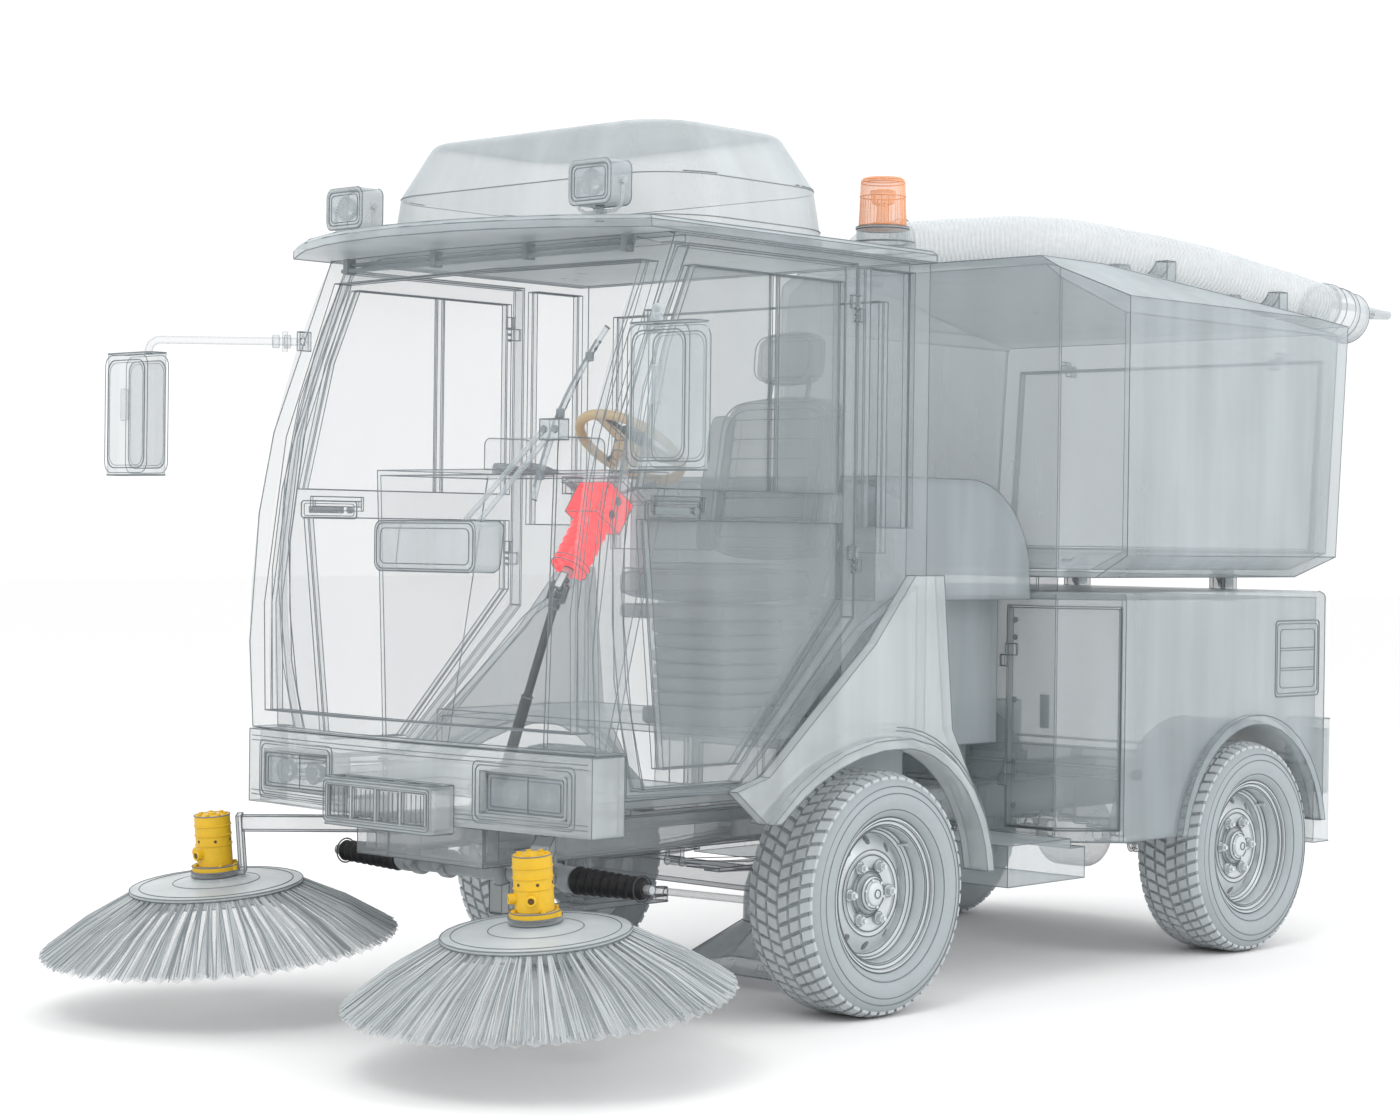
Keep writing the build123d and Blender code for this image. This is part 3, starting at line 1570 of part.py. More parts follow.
service_hinge_x = door_in_x - gap / 2
service_hinge_y = body_front_y - gap
service_hinge_zs = (560, 920)
body_hinges = [
    hinge_half(side * service_hinge_x, service_hinge_y, (side * -4 * gap, gap), z, hinge_height, True)
    for name, side in sides
    for z in service_hinge_zs
]
outer_plan = body_plan(0, body_low)
inner_plan = body_plan(body_wall, body_low)
door_holes = [service_plan(side, gap, door_z_low - gap) for name, side in sides]
with BuildPart() as rear_body:
    extrude(outer_plan, amount=body_high - body_low)
    fillet(rear_body.faces().sort_by(Axis.Z)[-1].edges(), body_wall)
    extrude(inner_plan, amount=body_high - body_low - body_wall, mode=Mode.SUBTRACT)
    for hole in door_holes:
        extrude(hole, amount=door_z_high - door_z_low + 2 * gap, mode=Mode.SUBTRACT)
    add(body_hinges)
    for name, side in sides:
        well_low = side * well_in if side > 0 else -body_half
        with BuildSketch(side_plane(well_low)):
            with Locations((well_y, axle_z)):
                Circle(well_r + body_wall / 2)
            with Locations((well_y, body_low - body_half)):
                Rectangle(2 * body_half, 2 * body_half, mode=Mode.SUBTRACT)
        extrude(amount=body_half - well_in)
        cut_low = side * (well_in + body_wall / 2) if side > 0 else -body_half - overrun
        with BuildSketch(side_plane(cut_low)):
            with Locations((well_y, axle_z)):
                Circle(well_r)
        extrude(amount=body_half - well_in - body_wall / 2 + overrun, mode=Mode.SUBTRACT)
        lip_low = side * body_half if side > 0 else -body_half - body_wall
        with BuildSketch(side_plane(lip_low)):
            with Locations((well_y, axle_z)):
                Circle(well_r + lip_thick)
                Circle(well_r, mode=Mode.SUBTRACT)
            with Locations((well_y, body_low - body_half)):
                Rectangle(2 * body_half, 2 * body_half, mode=Mode.SUBTRACT)
        extrude(amount=body_wall)
    box_between(
        (-rail_out - gap, body_front_y - overrun, body_low - overrun),
        (rail_out + gap, body_front_y + overrun, rail_top + gap),
        Mode.SUBTRACT,
    )
    reaches = (body_half - body_wall / 2, well_in + body_wall / 4, body_half - body_wall / 2)
    for place, reach in zip(cross_places[-3:], reaches):
        box_between(
            (-rail_out, place, rail_top), (rail_out, place + cross_width, rail_top + cross_height)
        )
        box_between(
            (-reach, place, rail_top + cross_height / 2),
            (reach, place + cross_width, rail_top + cross_height),
        )
    for name, side in sides:
        for shift in (-1, 1):
            middle = tip_lug_x + shift * (tip_lug / 2 + tip_side_gap + tip_plate / 2)
            sided(
                side,
                (middle - tip_plate / 2, body_rear_y - body_wall, tip_line_z - 3 * tip_r),
                (middle + tip_plate / 2, tip_line_y + tip_r, tip_line_z + tip_r),
            )
        with BuildSketch(Plane.YZ.offset(side * tip_lug_x - tip_lug)):
            with Locations((tip_line_y, tip_line_z)):
                Circle(tip_pin_r)
        extrude(amount=2 * tip_lug)
        sided(
            side,
            (pad_x - overrun, body_front_y + body_wall, body_high - body_wall),
            (pad_x + overrun, body_front_y + 3 * overrun, hopper_low - seat_gap),
        )
keep(rear_body, "rear_body")

# Service doors at the body's two cut corners
for name, side in sides:
    outline = service_plan(side, 0, door_z_low)
    door_hinges = [
        hinge_half(
            side * service_hinge_x,
            service_hinge_y,
            (side * 6 * gap, gap),
            z + hinge_height + seat_gap,
            hinge_height,
            False,
        )
        for z in service_hinge_zs
    ]
    with BuildPart() as service_door:
        extrude(outline, amount=door_z_high - door_z_low)
        add(door_hinges)
    keep(service_door, f"service_door_{name}")

# Rear corner blocks, and tanks slung from the rails ahead of the rear wheels
block_front_y = 1625
block_low = 324
block_high = 726
block_in = 560
block_out = 696
with BuildPart() as rear_bumper:
    for name, side in sides:
        sided(side, (block_in, body_rear_y + seat_gap, block_low), (block_out, block_rear_y, block_high))
        sided(
            side,
            (block_in, block_front_y, block_low),
            (block_out, body_rear_y + seat_gap, body_low - seat_gap),
        )
    box_between(
        (-block_in, body_rear_y + seat_gap, block_low),
        (block_in, body_rear_y + seat_gap + body_wall, body_low + overrun),
    )
    fillet(rear_bumper.edges().filter_by(Axis.Z).group_by(Axis.Y)[-1], body_wall)
keep(rear_bumper, "rear_bumper")

tank_in = 250
tank_out = 620
tank_front_y = 70
tank_rear_y = 450
tank_low = 296
tank_high = 416
with BuildPart() as tanks:
    for name, side in sides:
        sided(side, (tank_in, tank_front_y, tank_low), (tank_out, body_front_y - gap, tank_high))
        sided(
            side,
            (tank_in, body_front_y - gap, tank_low),
            (tank_out, tank_rear_y, body_low - 2 * gap),
        )
        sided(
            side,
            (rail_out, tank_front_y, tank_high - overrun),
            (rail_out + gap, tank_front_y + 4 * overrun, rail_top - overrun),
        )
        sided(
            side,
            (rail_out, tank_front_y, tank_high - overrun),
            (tank_in + overrun, tank_front_y + 4 * overrun, tank_high),
        )
keep(tanks, "side_tanks")

# Tipping hopper: a crowned box with cut corners and a slope down to the rear
hopper_shoulder = 1258
hopper_edge_front = 2095
hopper_edge_rear = 1960
hopper_rear_y = 1793
hopper_foot_y = 1587
hopper_wall = 24
crown_rise = 60
hopper_crown_half = 480
hopper_heel_y = (hopper_rear_y + body_rear_y) / 2
hopper_tail_z = hopper_edge_rear + crown_rise


def hopper_side(x, inset):
    """Side outline of the hopper between its floor and its crowned roof."""
    top = crown_rise - inset
    with BuildSketch(side_plane(x)) as outline:
        with BuildLine():
            Spline(
                (body_front_y + inset, hopper_edge_front + top),
                (body_front_y + 4 * corner_cut, hopper_edge_front + top - corner_cut / 5),
                (hopper_rear_y - 3 * corner_cut, hopper_edge_rear + top + corner_cut / 3),
                (hopper_rear_y - inset, hopper_edge_rear + top),
            )
            Polyline(
                (hopper_rear_y - inset, hopper_edge_rear + top),
                (hopper_heel_y - inset, hopper_shoulder + inset / 2),
                (hopper_foot_y, hopper_low + inset),
                (body_front_y + inset, hopper_low + inset),
                (body_front_y + inset, hopper_edge_front + top),
            )
        make_face()
    return outline.sketch


def hopper_front(inset):
    """Front outline of the hopper: crowned on top, cut along its lower edges."""
    half = body_half - inset
    cut = hopper_shoulder - hopper_low
    edge = hopper_edge_front - 2 * inset
    with BuildSketch(Plane.XZ.offset(-body_front_y + overrun)) as outline:
        with BuildLine():
            Polyline(
                (-hopper_crown_half, hopper_edge_front + crown_rise - inset),
                (-half, edge - crown_rise),
                (-half, hopper_shoulder + inset / 2),
                (-half + cut, hopper_low + inset),
                (half - cut, hopper_low + inset),
                (half, hopper_shoulder + inset / 2),
                (half, edge - crown_rise),
                (hopper_crown_half, hopper_edge_front + crown_rise - inset),
                close=True,
            )
        make_face()
    return outline.sketch


def hopper_plan(inset):
    """Plan of the hopper with its two cut front corners."""
    cut = corner_cut - inset * (2 - sqrt(2))
    rear = hopper_rear_y + overrun
    with BuildSketch(Plane.XY.offset(hopper_low - overrun)) as plan:
        with BuildLine():
            Polyline(
                (-body_half + inset, rear),
                (-body_half + inset, body_front_y + inset + cut),
                (-body_half + inset + cut, body_front_y + inset),
                (body_half - inset - cut, body_front_y + inset),
                (body_half - inset, body_front_y + inset + cut),
                (body_half - inset, rear),
                close=True,
            )
        make_face()
    return plan.sketch


def hopper_body(inset):
    """Solid of the hopper's outer or inner form."""
    side_view = hopper_side(-body_half, inset)
    front_view = hopper_front(inset)
    plan_view = hopper_plan(inset)
    long = hopper_rear_y - body_front_y + 2 * overrun
    with BuildPart() as body:
        extrude(side_view, amount=2 * body_half)
        extrude(front_view, amount=-long, mode=Mode.INTERSECT)
        extrude(plan_view, amount=2 * body_half, mode=Mode.INTERSECT)
    return body.part


# Suction hose on the hopper's roof: elbow, hose, nozzle and handle
hose_r = 78
hose_wall = 5
hose_root = (-400, 590)
hose_top_z = 2250
hose_bend = 95
hose_places = (
    (191, 815, 2251),
    (430, 1300, 2188),
    (525, 1777, 2115),
)
elbow_end = Vector(-275, 640, hose_top_z)
nozzle_end = Vector(540, 2064, 2072)
handle_tip = Vector(560, 2300, 2098)
handle_r = 13
saddle_shares = ((0.45, 60), (0.72, 50))
saddle_half = 25
saddle_reach = 110

# Rear door of the hopper: a plate let into the sloping rear wall, hinged at its top
rear_lean = Vector(0, hopper_rear_y - hopper_heel_y, hopper_tail_z - hopper_shoulder).normalized()
rear_plane = Plane(
    origin=(0, hopper_heel_y, hopper_shoulder), x_dir=(-1, 0, 0), z_dir=Vector(0, rear_lean.Z, -rear_lean.Y)
)
rear_door_half = 610
rear_door_low = 22
rear_door_high = 645
rear_hinge_x = 430
rear_hinge_out = 16
rear_hinge_r = 11
rear_hinge_pin_r = 6
rear_hinge_up = rear_door_high + 14
rear_lug = 24
hinge_line = rear_plane.origin + rear_plane.y_dir * rear_hinge_up + rear_plane.z_dir * rear_hinge_out


def rear_lug_piece(x, rises):
    """One lug of the rear door's hinge, reaching up or down along the rear wall."""
    plane = Plane(origin=hinge_line + Vector(x, 0, 0), x_dir=rear_plane.y_dir, z_dir=(1, 0, 0))
    toward_wall = 1
    if plane.y_dir.dot(rear_plane.z_dir) > 0:
        toward_wall = -1
    with BuildPart() as piece:
        with BuildSketch(plane):
            Circle(rear_hinge_r)
            with Locations((rises * 1.2 * rear_hinge_r, 0)):
                Rectangle(2.4 * rear_hinge_r, 2 * rear_hinge_r)
            with Locations((rises * 1.8 * rear_hinge_r, toward_wall * rear_hinge_out / 2)):
                Rectangle(1.2 * rear_hinge_r, rear_hinge_out + rear_hinge_r)
        extrude(amount=rear_lug)
    return piece.part


hopper_lugs = [rear_lug_piece(x, 1) for x in (-rear_hinge_x - rear_lug, rear_hinge_x)]
door_lugs = [
    rear_lug_piece(x, -1) for x in (-rear_hinge_x + tip_side_gap, rear_hinge_x - rear_lug - tip_side_gap)
]

with BuildPart() as hose_core:
    with BuildLine():
        FilletPolyline(
            (*hose_root, hopper_edge_front), (*hose_root, hose_top_z), tuple(elbow_end), radius=hose_bend
        )
    with BuildSketch(Plane.XY.offset(hopper_edge_front)):
        with Locations(hose_root):
            Circle(hose_r)
    sweep()
elbow_run = (elbow_end - Vector(*hose_root, hose_top_z)).normalized()
with BuildPart() as hose_run:
    with BuildLine() as hose_line:
        Spline(
            tuple(elbow_end),
            *hose_places,
            tuple(nozzle_end),
            tangents=(tuple(elbow_run), tuple((nozzle_end - Vector(*hose_places[-1])).normalized())),
        )
    with BuildSketch(Plane(origin=elbow_end, z_dir=elbow_run)):
        Circle(hose_r)
    sweep()

hopper_outer = hopper_body(0)
hopper_inner = hopper_body(hopper_wall)
with BuildPart() as hopper:
    add(hopper_outer)
    add(hopper_inner, mode=Mode.SUBTRACT)
    with BuildSketch(Plane.XZ.offset(-body_front_y + overrun)):
        with Locations((duct_x, duct_z)):
            Circle(duct_r + seat_gap)
    extrude(amount=-hopper_wall - 2 * overrun, mode=Mode.SUBTRACT)
    with BuildSketch(rear_plane.offset(overrun)):
        with Locations((0, (rear_door_low + rear_door_high) / 2)):
            Rectangle(2 * (rear_door_half + gap), rear_door_high - rear_door_low + 2 * gap)
    extrude(amount=-hopper_wall - 2 * overrun, mode=Mode.SUBTRACT)
    for name, side in sides:
        with BuildSketch(side_plane(side * tip_lug_x - tip_lug / 2)):
            with Locations((tip_line_y, tip_line_z)):
                Circle(tip_r)
            with BuildLine():
                Polyline(
                    (tip_line_y - tip_r, tip_line_z),
                    (tip_line_y + tip_r, tip_line_z),
                    (tip_line_y + tip_r, hopper_shoulder),
                    (tip_line_y - 4 * tip_r, hopper_low + 2 * tip_r),
                    close=True,
                )
            make_face()
            with Locations((tip_line_y, tip_line_z)):
                Circle(tip_pin_r + run_gap, mode=Mode.SUBTRACT)
        extrude(amount=tip_lug)
    for share, sink in saddle_shares:
        middle = hose_line.edges()[0] @ share
        box_between(
            (middle.X - saddle_reach, middle.Y - saddle_half, middle.Z - hose_r - sink),
            (middle.X + saddle_reach, middle.Y + saddle_half, middle.Z - hose_r / 3),
        )
    add(hopper_lugs)
    for pin_x in (-rear_hinge_x - rear_lug, rear_hinge_x - rear_lug):
        with BuildSketch(Plane(origin=hinge_line + Vector(pin_x, 0, 0), x_dir=(0, 1, 0), z_dir=(1, 0, 0))):
            Circle(rear_hinge_pin_r)
        extrude(amount=2 * rear_lug)
    add(hose_core.part, mode=Mode.SUBTRACT)
    add(hose_run.part, mode=Mode.SUBTRACT)
keep(hopper, "hopper_shell")

with BuildPart() as rear_door:
    with BuildSketch(rear_plane):
        with Locations((0, (rear_door_low + rear_door_high) / 2)):
            Rectangle(2 * rear_door_half, rear_door_high - rear_door_low)
    extrude(amount=-hopper_wall)
    add(door_lugs)
    with BuildSketch(Plane(origin=hinge_line + Vector(-body_half, 0, 0), x_dir=(0, 1, 0), z_dir=(1, 0, 0))):
        Circle(rear_hinge_pin_r + run_gap)
    extrude(amount=2 * body_half, mode=Mode.SUBTRACT)
keep(rear_door, "hopper_door")

clamp_length = 46
nozzle_run = (nozzle_end - Vector(*hose_places[-1])).normalized()
nozzle_length = 150
handle_run = handle_tip - nozzle_end
with BuildPart() as hose:
    add(hose_core.part)
    add(hose_run.part)
    with BuildSketch(Plane(origin=nozzle_end, z_dir=nozzle_run)):
        Circle(hose_r + 2 * hose_wall)
    extrude(amount=-nozzle_length)
    with BuildSketch(Plane(origin=elbow_end, z_dir=elbow_run)):
        Circle(hose_r + 2 * hose_wall)
    extrude(amount=clamp_length / 2, both=True)
    with BuildSketch(Plane(origin=nozzle_end - nozzle_run * nozzle_length / 2, z_dir=handle_run)):
        Circle(handle_r)
    extrude(amount=(handle_tip - nozzle_end).length + nozzle_length / 2)
keep(hose, "suction_hose")

# Mirrors on tube arms from the pillars
mirror_pad_y = -1486
mirror_pad_z = 1830
mirror_pad = 26
mirror_out_x = 980
mirror_out_y = -1790
mirror_head_x = 1030
mirror_head_y = -1800
mirror_head_z = 1622
mirror_tube_r = 11
mirror_width = 210
mirror_height = 340
mirror_depth = 70
with BuildPart() as mirrors:
    for name, side in sides:
        sided(
            side,
            (cab_half + seat_gap, mirror_pad_y - mirror_pad, mirror_pad_z - mirror_pad),
            (cab_half + mirror_pad / 2, mirror_pad_y + mirror_pad / 2, mirror_pad_z + mirror_pad),
        )
        with BuildLine():
            FilletPolyline(
                (side * (cab_half + mirror_pad / 2), mirror_pad_y, mirror_pad_z),
                (side * mirror_out_x, mirror_out_y, mirror_pad_z),
                (side * mirror_head_x, mirror_head_y, mirror_head_z),
                radius=3 * mirror_tube_r,
            )
        start = Vector(side * (cab_half + mirror_pad / 2), mirror_pad_y, mirror_pad_z)
        run = Vector(side * mirror_out_x, mirror_out_y, mirror_pad_z) - start
        with BuildSketch(Plane(origin=start, z_dir=run)):
            Circle(mirror_tube_r)
        sweep()
        with BuildSketch(Plane.XY.offset(mirror_head_z - mirror_height / 2)):
            with Locations((side * mirror_head_x, mirror_head_y)):
                RectangleRounded(mirror_width, mirror_depth, mirror_depth / 3)
        extrude(amount=mirror_height)
keep(mirrors, "mirrors")

# Wiper: gear housing on the glass, two rods, bracket and a curved blade
wiper_left_x = -39
wiper_right_x = 343
wiper_low = 1202
wiper_high = 1331
wiper_front_y = -1768
wiper_rod_r = 7
wiper_rod_gap = 34
wiper_bracket = Vector(487, -1640, 1560)
wiper_blade = ((452, -1672, 1385), (500, -1628, 1600), (577, -1548, 1815))
wiper_cutter = front_band(ring_thick / 3 - seat_gap, 2 * ring_thick, glass_low + overrun, glass_high - overrun)
with BuildPart() as wiper:
    box_between((wiper_left_x, wiper_front_y, wiper_low), (wiper_right_x, front_mid_y, wiper_high))
    fillet(wiper.edges().filter_by(Axis.Y), (wiper_high - wiper_low) / 5)
    add(wiper_cutter, mode=Mode.SUBTRACT)
    for shift in (0, wiper_rod_gap):
        start = Vector(
            wiper_right_x - overrun - shift,
            (wiper_front_y + bumper_nose_y) / 2,
            wiper_high - overrun / 2 + shift / 2,
        )
        run = wiper_bracket - Vector(shift / 2, 0, -shift / 2) - start
        with BuildSketch(Plane(origin=start, z_dir=run)):
            Circle(wiper_rod_r)
        extrude(amount=run.length)
    with BuildLine():
        Spline(*wiper_blade)
    blade_run = Vector(*wiper_blade[1]) - Vector(*wiper_blade[0])
    with BuildSketch(Plane(origin=wiper_blade[0], z_dir=blade_run)):
        Circle(wiper_rod_r)
    sweep()
    with Locations(tuple(wiper_bracket)):
        Box(2 * wiper_rod_gap, wiper_rod_gap, 1.5 * wiper_rod_gap)
keep(wiper, "windscreen_wiper")

# Driver's seat
seat_x = column_x
seat_half = 230
cushion_front_y = -1100
cushion_rear_y = -640
cushion_low = 1110
cushion_high = 1222
back_rear_y = -560
back_top_z = 1690
head_top_z = 1880
seat_round = 36
with BuildPart() as seat:
    with BuildSketch(Plane.XY.offset(platform_z)):
        with Locations((seat_x, (cushion_front_y + cushion_rear_y) / 2)):
            RectangleRounded(1.3 * seat_half, 1.3 * seat_half, seat_round)
    extrude(amount=cushion_low - platform_z)
    with BuildSketch(side_plane(seat_x - seat_half)):
        with BuildLine():
            Polyline(
                (cushion_front_y, cushion_low),
                (back_rear_y - 2 * seat_round, cushion_low),
                (back_rear_y + seat_round, back_top_z),
                (back_rear_y - 2 * seat_round, back_top_z),
                (cushion_rear_y - 2 * seat_round, cushion_high),
                (cushion_front_y + seat_round, cushion_high + seat_round / 2),
                (cushion_front_y, cushion_high),
                close=True,
            )
        make_face()
    extrude(amount=2 * seat_half)
    with BuildSketch(Plane.XY.offset(back_top_z - seat_round)):
        with Locations((seat_x, back_rear_y - seat_round / 2)):
            RectangleRounded(seat_half, 2.4 * seat_round, seat_round / 2)
    extrude(amount=head_top_z - back_top_z + seat_round)
keep(seat, "driver_seat")

# Dashboard: hollow pedestal, desk and the plate that holds the steering unit
dash_wall = 14
dash_front_y = -1590
dash_base = ((-200, 420), -1380)
dash_crest = ((-240, 450), -1190)
dash_top_z = 1465
hood_low_x = 180
hood_rear_y = -1425
hood_top_z = 1545
hold_x = 210
hold_thick = 12


def dash_form(inset):
    """Tapered solid of the dashboard's pedestal."""
    with BuildPart() as form:
        for level, (xs, rear) in ((floor_z, dash_base), (dash_top_z - inset, dash_crest)):
            with BuildSketch(Plane.XY.offset(level)):
                with BuildLine():
                    Polyline(
                        (xs[0] + inset, dash_front_y - inset),
                        (xs[1] - inset, dash_front_y - inset),
                        (xs[1] - inset, rear - inset),
                        (xs[0] + inset, rear - inset),
                        close=True,
                    )
                make_face()
        loft(ruled=True)
    return form.part


dash_outer = dash_form(0)
dash_inner = dash_form(dash_wall)
hold_plane = Plane(origin=unit_plane.origin, x_dir=(1, 0, 0), z_dir=column_up)
with BuildPart() as dash:
    add(dash_outer)
    add(dash_inner, mode=Mode.SUBTRACT)
    with BuildSketch(Plane.XY.offset(dash_top_z)):
        with BuildLine():
            Polyline(
                (hood_low_x, dash_front_y),
                (dash_crest[0][1], dash_front_y),
                (dash_crest[0][1], hood_rear_y),
                (hood_low_x, hood_rear_y),
                close=True,
            )
        make_face()
    extrude(amount=hood_top_z - dash_top_z)
    fillet(dash.edges().filter_by(Axis.X).group_by(Axis.Z)[-1], overrun / 2)
    hold_right = dash_crest[0][1] - dash_wall
    with BuildSketch(hold_plane):
        with Locations(((hold_x + hold_right) / 2 - column_x, 0)):
            Rectangle(hold_right - hold_x, block_depth)
    extrude(amount=hold_thick)
    box_between(
        (hold_x, unit_plane.origin.Y - overrun, unit_plane.origin.Z),
        (hold_x + hold_thick, unit_plane.origin.Y + overrun / 2, dash_top_z - dash_wall),
    )
    with BuildSketch(Plane(origin=column_top, x_dir=(1, 0, 0), z_dir=column_up * -1)):
        Circle(column_r + gap)
    extrude(amount=unit_top + gap, mode=Mode.SUBTRACT)
keep(dash, "dashboard")

# Side brushes: swinging arms, motors, dished discs and bristles
brush_x = 625
brush_y = -1815
brush_z = 369
brush_tilt = 0.095
brush_up = Vector(0, -brush_tilt, 1).normalized()
dish_r = 232
dish_drop = 44
dish_thick = 8
brush_hub_r = 60
brush_hub_depth = 50
brush_shaft_r = 12
motor_r = 48
motor_flange_r = 62
motor_flange = 14
motor_top = 165
foot_low = 3
foot_thick = 12
foot_r = 66
post_in = 66
post_thick = 14
beam_width = 60
beam_high = outrigger_top + arm_boss_height
tuft_count = 40
tuft_root_in = 206
tuft_root_out = 228
tuft_tip_r = 484
tuft_tip_drop = 181
tuft_root_width = 26
tuft_tip_width = 58
tuft_thick = 12
for name, side in sides:
    centre = Vector(side * brush_x, brush_y, brush_z)
    pivot = Vector(side * arm_pivot_x, arm_pivot_y, 0)
    to_pivot = Vector(pivot.X - centre.X, pivot.Y - centre.Y, 0).normalized()
    across = brush_up.cross(to_pivot).normalized()
    inward = across.cross(brush_up).normalized()
    brush_plane = Plane(origin=centre, x_dir=inward, z_dir=brush_up)
    reach = (Vector(centre.X, centre.Y, 0) - pivot).length
    beam_foot = (pivot.X, pivot.Y, outrigger_top + seat_gap)
    beam_plane = Plane(origin=beam_foot, x_dir=to_pivot * -1, z_dir=(0, 0, 1))
    with BuildPart() as arm:
        with BuildSketch(beam_plane):
            Circle(arm_boss_r)
            with Locations(((reach - post_in) / 2, 0)):
                Rectangle(reach - post_in, beam_width * 0.8)
            Circle(arm_pin_r + run_gap, mode=Mode.SUBTRACT)
        extrude(amount=arm_boss_height)
        with BuildSketch(brush_plane.offset(foot_low)):
            Circle(foot_r)
            with Locations(((post_in + post_thick) / 2, 0)):
                Rectangle(post_in + post_thick, beam_width)
            Circle(brush_shaft_r + run_gap, mode=Mode.SUBTRACT)
        extrude(amount=foot_thick)
        with BuildSketch(brush_plane.offset(foot_low)):
            with Locations((post_in + post_thick / 2, 0)):
                Rectangle(post_thick, beam_width)
        extrude(amount=beam_high - brush_z - foot_low)
    keep(arm, f"brush_arm_{name}")
    with BuildPart() as motor:
        with BuildSketch(brush_plane.offset(foot_low + foot_thick)):
            Circle(motor_flange_r)
        extrude(amount=motor_flange)
        with BuildSketch(brush_plane.offset(foot_low + foot_thick)):
            Circle(motor_r)
        extrude(amount=motor_top - foot_low - foot_thick)
    keep(motor, f"brush_motor_{name}")
    section = Plane(origin=centre, x_dir=inward, z_dir=brush_up.cross(inward) * -1)
    with BuildPart() as disc:
        with BuildSketch(section):
            with BuildLine():
                Polyline(
                    (0, foot_low + foot_thick),
                    (brush_shaft_r, foot_low + foot_thick),
                    (brush_shaft_r, 0),
                    (brush_hub_r, 0),
                    (dish_r / 2, -dish_drop / 3),
                    (dish_r, -dish_drop / 2),
                    (dish_r, -dish_drop / 2 - dish_thick),
                    (dish_r / 2, -dish_drop / 3 - dish_thick),
                    (brush_hub_r, -dish_thick),
                    (brush_hub_r - dish_thick, -brush_hub_depth),
                    (0, -brush_hub_depth),
                    close=True,
                )
            make_face()
        revolve(axis=Axis(centre, brush_up))
    keep(disc, f"brush_disc_{name}")
    root_r = (tuft_root_in + tuft_root_out) / 2
    start = centre + inward * root_r - brush_up * (dish_drop + dish_thick / 2)
    end = centre + inward * (tuft_tip_r - tuft_thick / 2) - brush_up * tuft_tip_drop
    with BuildPart() as tuft:
        with BuildSketch(Plane(origin=start, x_dir=across, z_dir=end - start)):
            Rectangle(tuft_root_width, tuft_thick)
        with BuildSketch(Plane(origin=end, x_dir=across, z_dir=end - start)):
            Rectangle(tuft_tip_width, tuft_thick)
        loft(ruled=True)
    turn = Axis(centre, brush_up)
    tufts = [tuft.part.rotate(turn, 360 * number / tuft_count) for number in range(tuft_count)]
    with BuildPart() as bristles:
        with BuildSketch(section):
            with BuildLine():
                Polyline(
                    (tuft_root_in, -dish_drop / 2 - dish_thick - seat_gap),
                    (tuft_root_out, -dish_drop / 2 - dish_thick - seat_gap),
                    (tuft_root_out, -dish_drop - dish_thick),
                    (tuft_root_in, -dish_drop - dish_thick),
                    close=True,
                )
            make_face()
        revolve(axis=turn)
        add(tufts)
    keep(bristles, f"brush_bristles_{name}")
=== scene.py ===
"""Finishes the street sweeper: drawn see-through panels, treaded tyres, bristles, seat, trim and stage.

Everything is in metres in the row frame: origin on the ground under the middle of the sweeper,
front towards -Y, the vehicle's left side towards +X, +Z up.
"""

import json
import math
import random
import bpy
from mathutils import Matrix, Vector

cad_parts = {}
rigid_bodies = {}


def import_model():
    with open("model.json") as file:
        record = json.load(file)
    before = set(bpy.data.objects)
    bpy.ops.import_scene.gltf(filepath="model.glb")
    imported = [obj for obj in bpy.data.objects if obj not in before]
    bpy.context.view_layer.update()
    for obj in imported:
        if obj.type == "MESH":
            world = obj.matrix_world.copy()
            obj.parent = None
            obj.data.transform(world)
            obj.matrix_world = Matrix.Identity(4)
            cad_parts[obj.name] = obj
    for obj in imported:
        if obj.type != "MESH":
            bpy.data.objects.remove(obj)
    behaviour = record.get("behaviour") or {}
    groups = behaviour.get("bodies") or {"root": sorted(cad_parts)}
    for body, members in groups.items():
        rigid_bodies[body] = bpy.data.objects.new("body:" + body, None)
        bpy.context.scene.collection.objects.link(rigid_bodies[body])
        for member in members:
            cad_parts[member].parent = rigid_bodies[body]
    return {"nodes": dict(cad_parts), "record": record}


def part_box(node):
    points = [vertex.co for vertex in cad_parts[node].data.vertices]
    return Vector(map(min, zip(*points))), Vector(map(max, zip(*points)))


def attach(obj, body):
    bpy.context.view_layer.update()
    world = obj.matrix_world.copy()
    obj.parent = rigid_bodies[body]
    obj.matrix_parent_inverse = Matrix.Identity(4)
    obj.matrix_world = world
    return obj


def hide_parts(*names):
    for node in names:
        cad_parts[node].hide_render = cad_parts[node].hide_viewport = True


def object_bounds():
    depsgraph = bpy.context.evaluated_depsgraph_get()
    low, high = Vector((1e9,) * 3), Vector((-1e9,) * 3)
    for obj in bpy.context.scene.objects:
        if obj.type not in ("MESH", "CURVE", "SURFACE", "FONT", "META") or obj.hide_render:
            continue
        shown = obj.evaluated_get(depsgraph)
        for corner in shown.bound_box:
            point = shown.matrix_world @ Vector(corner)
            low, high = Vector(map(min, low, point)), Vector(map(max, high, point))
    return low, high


bl_info = {
    "name": "Street sweeper finish",
    "version": (1, 0, 0),
    "blender": (4, 5, 0),
    "location": "3D View > Sidebar > Sweeper",
    "description": "Models the soft and fine pieces of a street sweeper and gives all its parts their finish",
    "category": "Object",
}

import bmesh
import bpy
from mathutils import Matrix, Vector

for leftover in list(bpy.data.objects):
    bpy.data.objects.remove(leftover)

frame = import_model()
cad_low, cad_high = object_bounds()
nodes = frame["nodes"]

